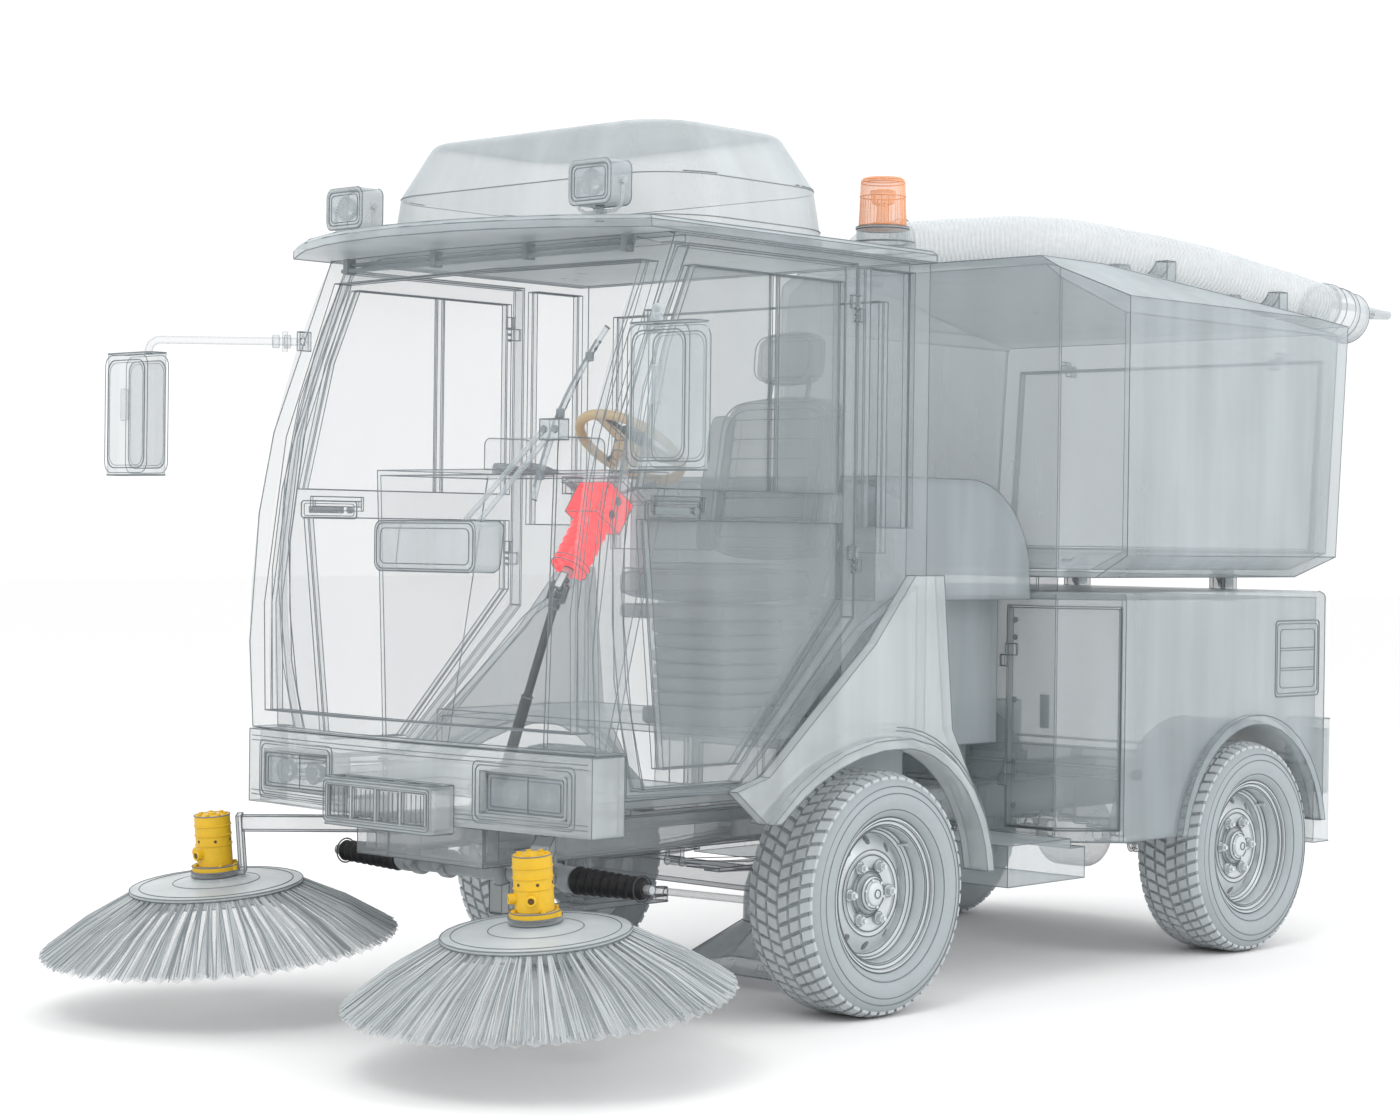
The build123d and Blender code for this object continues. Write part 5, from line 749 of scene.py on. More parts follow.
class SWEEPER_OT_tyres(bpy.types.Operator):
    """Model the four treaded tyres"""

    bl_idname = "sweeper.tyres"
    bl_label = "Tyres"

    def execute(self, context):
        deep = sizes().tread_depth
        count = sizes().tread_blocks
        for end in ENDS:
            for name, side in SIDES:
                node = f"tyre_{end}_{name}"
                low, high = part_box(node)
                centre = (low + high) / 2
                radius = (high.z - low.z) / 2
                half = (high.x - low.x) / 2
                base = radius - deep
                outer = [
                    (0.79 * half, 0.638 * radius),
                    (0.89 * half, 0.665 * radius),
                    (0.93 * half, 0.685 * radius),
                    (0.925 * half, 0.697 * radius),
                    (0.965 * half, 0.73 * radius),
                    (half, 0.785 * radius),
                    (0.98 * half, 0.85 * radius),
                    (0.945 * half, 0.885 * radius),
                    (0.96 * half, 0.892 * radius),
                    (0.935 * half, 0.905 * radius),
                    (0.88 * half, 0.935 * radius),
                    (0.80 * half, 0.957 * radius),
                    (0.62 * half, base - 0.001),
                    (0, base),
                ]
                inner = [
                    (0.62 * half, base - 0.014),
                    (0.84 * half, 0.87 * radius),
                    (0.89 * half, 0.785 * radius),
                    (0.84 * half, 0.69 * radius),
                ]
                outline = outer + [(-x, r) for x, r in reversed(outer[:-1])]
                outline += [(-x, r) for x, r in reversed(inner)] + inner + outer[:1]
                bm = bmesh.new()
                add_spun(bm, centre, (1, 0, 0), outline, steps=72)
                body = BODY_OF[node]
                # Carcass in the darker groove finish: painted shade between the tread blocks.
                rubber = finish("tyre_groove")
                piece(f"tyre_carcass_{end}_{name}", bm, rubber, body, (node,), smooth=40)

                bm = bmesh.new()
                pitch = math.tau / count
                rows = (
                    (0.03, 0.27, 0.0, 0.30, radius, radius),
                    (0.33, 0.57, 0.42, 0.72, radius, radius - 0.0004),
                    (0.63, 0.86, 0.85, 1.10, radius - 0.0008, 0.966 * radius),
                )
                for facing in (1, -1):
                    for start, stop, lean_in, lean_out, r_in, r_out in rows:
                        shift = 0.5 * pitch * (facing < 0)
                        corners = (
                            (start, lean_in, r_in),
                            (stop, lean_out, r_out),
                            (stop, lean_out + 0.74, r_out),
                            (start, lean_in + 0.74, r_in),
                        )
                        verts = []
                        for share, lean, reach in corners:
                            angle = shift + lean * pitch
                            deeper = reach - deep - 0.002
                            across = facing * share * half
                            flat = Vector((across, deeper * math.sin(angle), deeper * math.cos(angle)))
                            verts.append(bm.verts.new(centre + flat))
                        face = bm.faces.new(verts)
                        made = bmesh.ops.extrude_face_region(bm, geom=[face])
                        top = [item for item in made["geom"] if isinstance(item, bmesh.types.BMVert)]
                        middle_place = sum((v.co for v in top), Vector()) / 4
                        for vert in top:
                            vert.co = middle_place + (vert.co - middle_place) * 0.93
                            out = Vector((0, vert.co.y - centre.y, vert.co.z - centre.z))
                            along = abs(vert.co.x - centre.x) / half
                            crown = radius if along < 0.6 else radius * (1 - 0.14 * (along - 0.6))
                            if out.length:
                                vert.co += out.normalized() * (crown - out.length)
                bmesh.ops.spin(
                    bm,
                    geom=bm.verts[:] + bm.edges[:] + bm.faces[:],
                    cent=centre,
                    axis=(1, 0, 0),
                    angle=math.tau * (count - 1) / count,
                    steps=count - 1,
                    use_duplicate=True,
                )
                bmesh.ops.recalc_face_normals(bm, faces=bm.faces)
                piece(f"tyre_tread_{end}_{name}", bm, finish("tyre"), body, smooth=20)

                bm = bmesh.new()
                for along, reach in ((0.935, 0.698), (0.955, 0.888), (0.79, 0.96), (0.99, 0.83)):
                    place = centre + Vector((side * along * half, 0, 0))
                    add_ring(bm, place, (1, 0, 0), reach * radius, 0.0014, 72, LINE_SIDES)
                draw_lines(f"tyre_lines_{end}_{name}", bm, body)
        return {"FINISHED"}


class SWEEPER_OT_wheels(bpy.types.Operator):
    """Add nuts, hub caps, valves and drawn rings to the wheels"""

    bl_idname = "sweeper.wheels"
    bl_label = "Wheel details"

    def execute(self, context):
        for end in ENDS:
            for name, side in SIDES:
                node = f"wheel_{end}_{name}"
                body = BODY_OF[node]
                low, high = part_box(node)
                centre = (low + high) / 2
                axis = Vector((side, 0, 0))
                bm = bmesh.new()
                hub = [
                    (0.030, 0.047), (0.056, 0.046), (0.060, 0.040), (0.060, 0.034),
                    (0.066, 0.031), (0.070, 0.022), (0.072, 0.010), (0.072, 0.0),
                ]
                add_spun(bm, centre, axis, hub, 32)
                add_bolts(bm, centre + axis * 0.058, axis, 0.0385, 6, 0.0045, 0.006)
                add_bolts(bm, centre + axis * 0.038, axis, 0.082, 6, 0.0125, 0.020, 0.26)
                out = axis.orthogonal().normalized()
                nuts = [
                    centre + Matrix.Rotation(0.26 + math.tau * number / 6, 3, axis) @ out * 0.082
                    for number in range(6)
                ]
                for nut in nuts:
                    add_rod(bm, nut + axis * 0.038, nut + axis * 0.042, 0.0175, 16)
                    add_rod(bm, nut + axis * 0.057, nut + axis * 0.066, 0.0065, 10)
                valve = centre + out * 0.172
                add_rod(bm, valve + axis * 0.030, valve + axis * 0.072 + out * 0.006, 0.004, 8)
                piece(f"wheel_fittings_{end}_{name}", bm, finish("wheel"), body, smooth=35)

                bm = bmesh.new()
                rings = (
                    (0.100, 0.2105), (0.0935, 0.2005), (0.0895, 0.190), (0.0865, 0.1855), (0.050, 0.180),
                    (0.042, 0.1735), (0.0335, 0.1665), (0.0465, 0.118), (0.0462, 0.104), (0.036, 0.066),
                    (0.0415, 0.0585), (0.053, 0.0475), (0.0605, 0.0405), (0.0725, 0.0115),
                )
                for along, reach in rings:
                    add_ring(bm, centre + axis * (along + 0.0006), axis, reach, 0.0018, 64, 4)
                for nut in nuts:
                    add_ring(bm, nut + axis * 0.0425, axis, 0.0178, 0.0009, 18, LINE_SIDES)
                draw_lines(f"wheel_lines_{end}_{name}", bm, body)
        return {"FINISHED"}


class SWEEPER_OT_bristles(bpy.types.Operator):
    """Model the brushes' strands in tufts"""

    bl_idname = "sweeper.bristles"
    bl_label = "Brush strands"

    def execute(self, context):
        chance = random.Random(11)
        rows = sizes().strand_rows
        for name, side in SIDES:
            node = f"brush_bristles_{name}"
            body = BODY_OF[node]
            up = BRUSH_UP
            centre = brush_centre(side)
            out = up.orthogonal().normalized()

            def spot(angle, reach, drop):
                return centre + (Matrix.Rotation(angle, 3, up) @ out) * reach - up * drop

            tufts = 62
            for kind, per, wide in (("strands", 3, 0.00125), ("quills", 1, 0.0021)):
                curve = bpy.data.curves.new("strands", "CURVE")
                curve.dimensions = "3D"
                curve.bevel_depth = wide
                curve.bevel_resolution = 0
                curve.resolution_u = 1
                for _ in range(rows * per):
                    tuft = chance.randrange(tufts)
                    spread = chance.uniform(-1, 1)
                    root = math.tau * tuft / tufts + spread * 0.020
                    tip = math.tau * tuft / tufts + spread * 0.047 + chance.uniform(-0.006, 0.006)
                    start = chance.uniform(0.209, 0.226)
                    end = chance.uniform(0.462, 0.481)
                    fall = 0.181 * (end - 0.2) / 0.281 + chance.uniform(-0.006, 0.002)
                    spline = curve.splines.new("POLY")
                    spline.points.add(3)
                    places = (
                        spot(root, start, 0.030),
                        spot(root * 0.8 + tip * 0.2, start + 0.045, 0.052),
                        spot(root * 0.4 + tip * 0.6, (start + end) / 2 + 0.014, fall * 0.58),
                        spot(tip, end, fall),
                    )
                    for point, place in zip(spline.points, places):
                        point.co = (*place, 1)
                    spline.points[3].radius = 0.75
                bm = bmesh.new()
                bm.from_mesh(mesh_of(curve))
                hides = (node,) if kind == "strands" else ()
                shade_name = "bristle" if kind == "strands" else "bristle_dark"
                piece(f"brush_{kind}_{name}", bm, finish(shade_name), body, hides, smooth=60)

            bm = bmesh.new()
            outline = [
                (-0.0305, 0.206), (-0.0305, 0.228), (-0.052, 0.2285), (-0.052, 0.2055), (-0.0305, 0.206),
            ]
            add_spun(bm, centre, up, outline, 64)
            piece(f"brush_root_ring_{name}", bm, finish("pale"), body)

            bm = bmesh.new()
            pleats = 124
            rings = []
            for reach, drop, wave in ((0.222, 0.050, 0.0), (0.33, 0.108, 0.006), (0.474, 0.176, 0.011)):
                ring = [
                    bm.verts.new(spot(math.tau * step / pleats, reach, drop + wave * (step % 2)))
                    for step in range(pleats)
                ]
                rings.append(ring)
            for first, second in zip(rings, rings[1:]):
                edges = []
                for ring in (first, second):
                    for one, two in zip(ring, ring[1:] + ring[:1]):
                        found = bm.edges.get((one, two))
                        edges.append(found or bm.edges.new((one, two)))
                bmesh.ops.bridge_loops(bm, edges=edges)
            bmesh.ops.solidify(bm, geom=bm.faces[:], thickness=0.0015)
            bmesh.ops.recalc_face_normals(bm, faces=bm.faces)
            piece(f"brush_veil_{name}", bm, finish("veil"), body, smooth=10)

            bm = bmesh.new()
            rims = ((0.232, 0.0225), (0.232, 0.0295), (0.206, 0.020), (0.116, 0.0145), (0.062, 0.0))
            for reach, drop in rims:
                add_ring(bm, centre - up * drop, up, reach, 0.0015, 64, 4)
            draw_lines(f"brush_lines_{name}", bm, body)
        return {"FINISHED"}


class SWEEPER_OT_motors(bpy.types.Operator):
    """Add bolts, ports and flanges to the yellow brush motors"""

    bl_idname = "sweeper.motors"
    bl_label = "Brush motor details"

    def execute(self, context):
        for name, side in SIDES:
            node = f"brush_motor_{name}"
            body = BODY_OF[node]
            up = BRUSH_UP
            centre = brush_centre(side)
            bm = bmesh.new()
            add_bolts(bm, centre + up * 0.164, up, 0.035, 7, 0.0062, 0.007)
            for along in (0.138, 0.112, 0.086):
                add_ring(bm, centre + up * along, up, 0.0485, 0.0022, 40, 6)
            cap = [(0.160, 0.048), (0.1655, 0.046), (0.1658, 0.012), (0.171, 0.010), (0.171, 0.0)]
            add_spun(bm, centre, up, cap, 40)
            add_bolts(bm, centre + up * 0.028, up, 0.0545, 4, 0.0065, 0.008, 0.4)
            foot = centre + up * 0.062
            forward = Vector((0.35 * side, -1, 0)).normalized()
            ports = [squared(Matrix.Rotation(turn, 3, up) @ forward, up) for turn in (-0.9, 0.35)]
            for way in ports:
                add_rod(bm, foot + way * 0.038, foot + way * 0.061, 0.0135, 18)
                add_ring(bm, foot + way * 0.061, way, 0.0105, 0.003, 18, 6)
            for turn in (0, math.pi):
                ear = centre + squared(Matrix.Rotation(turn + 0.4, 3, up) @ Vector((1, 0, 0)), up) * 0.052
                add_rod(bm, ear + up * 0.016, ear + up * 0.028, 0.016, 18)
            piece(f"motor_fittings_{name}", bm, finish("motor"), body, smooth=35)

            # Dark discs in the port openings and small holes: painted shade inside them.
            bm = bmesh.new()
            for way in ports:
                add_rod(bm, foot + way * 0.056, foot + way * 0.0615, 0.0082, 16)
            foot = centre + up * 0.098
            for number in range(6):
                way = squared(Matrix.Rotation(0.5 + number * math.tau / 6, 3, up) @ Vector((1, 0, 0)), up)
                add_rod(bm, foot + way * 0.046, foot + way * 0.0487, 0.0042, 10)
            piece(f"motor_ports_{name}", bm, finish("motor_hole_shade"), body)
        return {"FINISHED"}


class SWEEPER_OT_unit(bpy.types.Operator):
    """Add ports, bolts and rings to the red steering unit"""

    bl_idname = "sweeper.unit"
    bl_label = "Steering unit details"

    def execute(self, context):
        down = COLUMN_DOWN
        top = COLUMN_TOP + down * 0.150
        across = Vector((1, 0, 0))
        face = down.cross(across).normalized()
        if face.y > 0:
            face = -face
        bm = bmesh.new()
        for sx in (-1, 1):
            for place in (0.012, 0.080):
                for out, reach, depth in ((face, 0.052, 0.045), (across * sx, 0.056, 0.041)):
                    other = down.cross(out).normalized()
                    foot = top + down * place + out * reach + other * (depth * (1 if sx > 0 else -1))
                    add_rod(bm, foot - out * 0.001, foot + out * 0.003, 0.0055, 6)
        for along in (0.094, 0.118, 0.142, 0.166, 0.190):
            add_ring(bm, top + down * along, down, 0.0475, 0.0022, 40, 6)
        add_bolts(bm, top + down * 0.235, down, 0.038, 7, 0.0075, 0.008)
        add_bolts(bm, top + down * 0.001, -down, 0.038, 4, 0.0075, 0.008, math.pi / 4)
        for sx in (-1, 1):
            for along in (0.026, 0.066):
                foot = top + down * along + across * sx * 0.052
                add_ring(bm, foot + across * sx * 0.0045, across, 0.0145, 0.0028, 20, 6)
        piece("steering_unit_fittings", bm, finish("unit"), "chassis", smooth=35)

        # Dark discs in the port openings: painted shade inside the holes.
        bm = bmesh.new()
        for sx in (-1, 1):
            for sz in (-1, 1):
                foot = top + down * (0.046 + sz * 0.022) + across * sx * 0.026
                add_rod(bm, foot + face * 0.036, foot + face * 0.046, 0.0088, 16)
            for along in (0.026, 0.066):
                foot = top + down * along + across * sx * 0.0555
                add_rod(bm, foot, foot + across * sx * 0.001, 0.0125, 16)
        for sz in (-1, 1):
            foot = top + down * (0.046 + sz * 0.011)
            add_rod(bm, foot + face * 0.036, foot + face * 0.046, 0.0048, 12)
        piece("steering_unit_ports", bm, finish("port"), "chassis")

        hub = COLUMN_TOP
        bm = bmesh.new()
        boss = [(0.019, 0.040), (0.026, 0.050), (0.034, 0.050), (0.042, 0.040), (0.046, 0.020), (0.046, 0.0)]
        add_spun(bm, hub, -down, boss, 32)
        for number in range(3):
            way = Matrix.Rotation(number * math.tau / 3, 3, down) @ face
            wide = down.cross(way).normalized()
            start, end = hub + way * 0.036 - down * 0.018, hub + way * 0.131
            for shift in (-0.012, 0.012):
                add_rod(bm, start + wide * shift, end + wide * shift * 1.3, 0.0065, 10)
        piece("handwheel_hub", bm, finish("shaft"), BODY_OF["steering_wheel"], smooth=40)
        return {"FINISHED"}


HOSE_PLACES = [
    Vector(place)
    for place in (
        (-0.275, 0.640, 2.250),
        (-0.045, 0.716, 2.256),
        (0.191, 0.815, 2.251),
        (0.322, 1.060, 2.222),
        (0.430, 1.300, 2.188),
        (0.484, 1.540, 2.150),
        (0.525, 1.777, 2.115),
    )
]


class SWEEPER_OT_hose(bpy.types.Operator):
    """Model the ribbed suction hose with its elbow, clamps and nozzle"""

    bl_idname = "sweeper.hose"
    bl_label = "Suction hose"

    def execute(self, context):
        body = BODY_OF["suction_hose"]
        nozzle_end = Vector((0.540, 2.064, 2.072))
        run = (nozzle_end - HOSE_PLACES[-1]).normalized()
        nozzle_start = nozzle_end - run * 0.150
        path = smooth_path([*HOSE_PLACES, nozzle_start], 420)
        pitch = sizes().rib_pitch
        points, radii = [path[0]], [0.0745]
        travelled, next_stop, number = 0.0, pitch / 4, 1
        for one, two in zip(path, path[1:]):
            length = (two - one).length
            while travelled + length >= next_stop:
                points.append(one.lerp(two, (next_stop - travelled) / length))
                radii.append((0.0745, 0.0775, 0.0790, 0.0775)[number % 4])
                number += 1
                next_stop += pitch / 4
            travelled += length
        bm = bmesh.new()
        add_tube(bm, points, radii, 28)
        bmesh.ops.recalc_face_normals(bm, faces=bm.faces)
        piece("hose_ribs", bm, finish("hose"), body, ("suction_hose",), smooth=60)

        bm = bmesh.new()
        root = Vector((-0.400, 0.590, 2.115))
        elbow = ((-0.394, 0.5925, 2.196), (-0.358, 0.607, 2.240), (-0.300, 0.630, 2.252))
        bend = smooth_path([root, root + UP * 0.040, *elbow, HOSE_PLACES[0]], 80)
        add_tube(bm, bend, 0.0765, 28)
        first = (HOSE_PLACES[1] - HOSE_PLACES[0]).normalized()
        half_clamp = [(0.023, 0.080), (0.023, 0.086), (0.019, 0.088)]
        clamp = [(-shift, out) for shift, out in half_clamp] + half_clamp[::-1]
        add_spun(bm, HOSE_PLACES[0], first, clamp, 36)
        nozzle = [
            (-0.020, 0.079), (-0.018, 0.088), (0.010, 0.088), (0.014, 0.084), (0.060, 0.0845),
            (0.064, 0.088), (0.090, 0.088), (0.094, 0.083), (0.140, 0.080), (0.144, 0.086),
            (0.150, 0.086), (0.150, 0.074), (0.100, 0.070),
        ]
        add_spun(bm, nozzle_start, run, nozzle, 36)
        tip = Vector((0.560, 2.300, 2.098))
        handle = nozzle_end - run * 0.075
        add_tube(bm, [handle + UP * 0.03, handle.lerp(tip, 0.5) + UP * 0.02, tip], 0.0125, 14)
        add_rod(bm, tip - (tip - handle).normalized() * 0.10, tip, 0.0155, 16)
        bmesh.ops.recalc_face_normals(bm, faces=bm.faces)
        piece("hose_fittings", bm, finish("hose_end"), body, smooth=35)

        bm = bmesh.new()
        for place, axis, reach in (
            (HOSE_PLACES[0], first, 0.0885),
            (HOSE_PLACES[0] + first * 0.023, first, 0.0865),
            (nozzle_start + run * 0.010, run, 0.0885),
            (nozzle_start + run * 0.064, run, 0.0885),
            (nozzle_start + run * 0.090, run, 0.0885),
            (nozzle_start + run * 0.150, run, 0.0865),
            (root + UP * 0.004, UP, 0.079),
        ):
            add_ring(bm, place, axis, reach, 0.0013, 56, 4)
        draw_lines("hose_lines", bm, body)
        return {"FINISHED"}


class SWEEPER_OT_mirrors(bpy.types.Operator):
    """Add glass, bezels and clamps to the mirrors"""

    bl_idname = "sweeper.mirrors"
    bl_label = "Mirror details"

    def execute(self, context):
        bm_glass, bm_trim, bm_line = bmesh.new(), bmesh.new(), bmesh.new()
        for side in (1, -1):
            middle_head = Vector((side * 1.030, -1.800, 1.622))
            for face in (1, -1):
                matrix = frame_of(middle_head + Vector((0, face * 0.0352, 0)), (-face, 0, 0), UP)
                loops = [
                    (0.105 - inset, 0.170 - inset, 0.030, thick)
                    for inset, thick in ((0.006, 0.00121), (0.020, 0.00176), (0.027, 0.00088))
                ]
                add_loops(bm_line, matrix, loops)
            matrix = frame_of(middle_head + Vector((0, 0.0345, 0)), (-1, 0, 0), UP)
            add_plate(bm_glass, matrix, rounded_rectangle(0.084, 0.149, 0.026), 0.0022)
            low, high = Vector((-0.013, -0.048, -0.020)), Vector((0.013, -0.034, 0.070))
            add_box(bm_trim, middle_head + low, middle_head + high, 0.005)
            pad = Vector((side * 0.690, -1.489, 1.830))
            arm = (Vector((side * 0.980, -1.790, 1.830)) - pad).normalized()
            for along in (0.030, 0.062):
                add_rod(bm_trim, pad + arm * along, pad + arm * (along + 0.018), 0.019, 16)
            pin = pad + arm * 0.046
            add_rod(bm_trim, pin - UP * 0.028, pin + UP * 0.028, 0.008, 10)
            add_bolts(bm_trim, (side * 0.681, -1.492, 1.830), (side, 0, 0), 0.017, 4, 0.004, 0.004, 0.78)
        piece("mirror_glass", bm_glass, finish("mirror"), "chassis")
        piece("mirror_clamps", bm_trim, finish("mirror_shell"), "chassis", smooth=35)
        draw_lines("mirror_lines", bm_line)
        return {"FINISHED"}


class SWEEPER_OT_lamps(bpy.types.Operator):
    """Add bezels, reflectors and brackets to every lamp"""

    bl_idname = "sweeper.lamps"
    bl_label = "Lamp details"

    def execute(self, context):
        bm_trim, bm_line, bm_bowl = bmesh.new(), bmesh.new(), bmesh.new()
        for side in (1, -1):
            head = Vector((side * 0.477, -1.480, 2.185))
            front = frame_of(head + Vector((0, -0.037, 0)), (1, 0, 0), UP)
            add_loop(bm_trim, front, rounded_rectangle(0.071, 0.052, 0.020), 0.0045)
            add_loops(bm_line, front, ((0.064, 0.045, 0.016, 0.0016), (0.055, 0.037, 0.012, 0.0014)))
            bowl = [(0, 0.034), (0.016, 0.031), (0.030, 0.022), (0.040, 0.009), (0.042, 0.0)]
            add_spun(bm_bowl, head + Vector((0, -0.034, 0)), (0, 1, 0), bowl, 28)
            half_strap = ((0.079, 0.006), (0.080, -0.030), (0.074, -0.060), (0.050, -0.072))
            strap = [head + Vector((-x, 0, z)) for x, z in half_strap]
            strap += [head + Vector((x, 0, z)) for x, z in reversed(half_strap)]
            add_tube(bm_trim, strap, 0.0048, 8)
            for sx in (-1, 1):
                knob = head + Vector((sx * 0.074, 0, 0.004))
                add_rod(bm_trim, knob, knob + Vector((sx * 0.014, 0, 0)), 0.010, 8)
            add_rod(bm_trim, head + Vector((0, 0, -0.088)), head + Vector((0, 0, -0.066)), 0.018, 16)
            foot = head + Vector((-0.030, -0.028, -0.0945))
            add_box(bm_trim, foot, foot + Vector((0.060, 0.056, 0.0065)), 0.0015)

            lamp = Vector((side * 0.445, -1.6838, 0.653))
            flat = frame_of(lamp, (1, 0, 0), UP)
            add_loop(bm_trim, flat, rounded_rectangle(0.1435, 0.0515, 0.010), 0.0042)
            add_loops(bm_line, flat, ((0.137, 0.045, 0.008, 0.0015), (0.126, 0.036, 0.006, 0.0013)))
            for shift, reach in ((-0.058, 0.033), (0.062, 0.030)):
                place = lamp + Vector((shift, 0.004, 0))
                outline = ((0, 1), (0.016, 0.9), (0.030, 0.6), (0.038, 0.2), (0.039, 0))
                bowl = [(along, reach * share) for along, share in outline]
                add_spun(bm_bowl, place, (0, 1, 0), bowl, 28)
                add_ring(bm_line, place, (0, 1, 0), reach, 0.0014, 40, LINE_SIDES)
                add_ring(bm_line, place, (0, 1, 0), reach * 0.45, 0.0012, 28, LINE_SIDES)
            split = lamp + Vector((0.010, -0.001, 0))
            add_rod(bm_line, split - UP * 0.044, split + UP * 0.044, 0.0014, LINE_SIDES)

            tail = Vector((side * 0.6325, 1.7472, 0.585))
            back = frame_of(tail, (-1, 0, 0), UP)
            add_loop(bm_trim, back, rounded_rectangle(0.039, 0.101, 0.010), 0.0035)
            for shift in (-0.034, 0.034):
                start, end = (tail + Vector((x, 0, shift)) for x in (-0.038, 0.038))
                add_rod(bm_line, start, end, 0.0013, LINE_SIDES)
            for shift in (-0.068, 0.0, 0.068):
                add_ring(bm_line, tail + Vector((0, 0, shift)), (0, 1, 0), 0.024, 0.0013, 32, 4)
        piece("lamp_bezels", bm_trim, finish("pale"), "chassis", smooth=35)
        piece("lamp_reflectors", bm_bowl, finish("bright"), "chassis", smooth=40)
        draw_lines("lamp_lines", bm_line)
        return {"FINISHED"}


class SWEEPER_OT_beacon(bpy.types.Operator):
    """Add the beacon's reflector, ribs and base screws"""

    bl_idname = "sweeper.beacon"
    bl_label = "Beacon details"

    def execute(self, context):
        foot = Vector((0.572, -0.477, 2.090))
        bm = bmesh.new()
        add_bolts(bm, foot + UP * 0.023, UP, 0.080, 6, 0.005, 0.005)
        collar = [(0.0595, 0.071), (0.060, 0.0735), (0.066, 0.0735), (0.067, 0.0665), (0.060, 0.0655)]
        add_spun(bm, foot, UP, collar, 40)
        plug = foot + UP * 0.006
        add_rod(bm, plug - Vector((0.060, 0.108, 0)), plug - Vector((0.040, 0.080, 0)), 0.010)
        piece("beacon_base_trim", bm, finish("pale"), "chassis", smooth=35)
        bm = bmesh.new()
        lamp = [
            (0, 0.0), (0.0, 0.030), (0.012, 0.032), (0.016, 0.018), (0.060, 0.016),
            (0.066, 0.030), (0.100, 0.036), (0.104, 0.020), (0.104, 0.0),
        ]
        add_spun(bm, foot + UP * 0.066, UP, lamp, 28)
        piece("beacon_lamp", bm, finish("beacon_core"), "chassis", smooth=40)
        bm = bmesh.new()
        rims = ((0.061, 0.0735), (0.066, 0.0735), (0.024, 0.0885), (0.002, 0.0885), (0.060, 0.0725))
        for height, reach in rims:
            add_ring(bm, foot + UP * height, UP, reach, 0.0013, 48, LINE_SIDES)
        draw_lines("beacon_lines", bm)
        bm = bmesh.new()
        for height, reach in ((0.070, 0.0663), (0.150, 0.0632), (0.188, 0.0600), (0.196, 0.0545)):
            add_ring(bm, foot + UP * height, UP, reach, 0.0013, 48, 4)
        for number in range(20):
            way = Matrix.Rotation(math.tau * number / 20, 3, UP) @ Vector((1, 0, 0))
            add_rod(bm, foot + way * 0.0655 + UP * 0.070, foot + way * 0.0618 + UP * 0.150, 0.0008, 4)
        piece("beacon_ribs", bm, finish("beacon_line"), "chassis")
        return {"FINISHED"}


def cushion(name, low, high, replaces=(), lean=0.0, bulge=0.018, channels=(), across=0):
    """A crowned cushion whose sides pull in, with sewn channels."""
    low, high = Vector(low), Vector(high)
    middle_place = (low + high) / 2
    half = (high - low) / 2
    bm = bmesh.new()
    bmesh.ops.create_cube(bm, size=2.0)
    bmesh.ops.subdivide_edges(bm, edges=bm.edges[:], cuts=15, use_grid_fill=True)
    for vert in bm.verts:
        unit = vert.co.copy()
        place = Vector((unit.x * half.x, unit.y * half.y, unit.z * half.z))
        limit = min(half) * 0.75
        core = Vector([max(-h + limit, min(h - limit, p)) for p, h in zip(place, half)])
        run = place - core
        if run.length:
            place = core + run.normalized() * min(limit, run.length)
        for axis in range(3):
            others = [abs(unit[k]) for k in range(3) if k != axis]
            crown = (1 - others[0] ** 2) * (1 - others[1] ** 2)
            place[axis] += math.copysign(bulge * crown * abs(unit[axis]) ** 4, unit[axis]) - math.copysign(
                bulge * abs(unit[axis]) ** 4, unit[axis]
            )
        for spot in channels:
            along = place[across] / half[across]
            dip = math.exp(-(((along - spot) / 0.035) ** 2))
            front = max(0.0, 1 - min(1.0, abs(unit[1 if lean else 2] + (1 if lean else -1)) * 2))
            if lean:
                place.y += dip * 0.010 * front
            else:
                place.z -= dip * 0.008 * front
        place.y += lean * place.z
        vert.co = middle_place + place
    bmesh.ops.recalc_face_normals(bm, faces=bm.faces)
    made = piece(name, bm, finish("cloth"), "chassis", replaces, smooth=80)
    grown = made.modifiers.new("round", "SUBSURF")
    grown.levels = grown.render_levels = 1


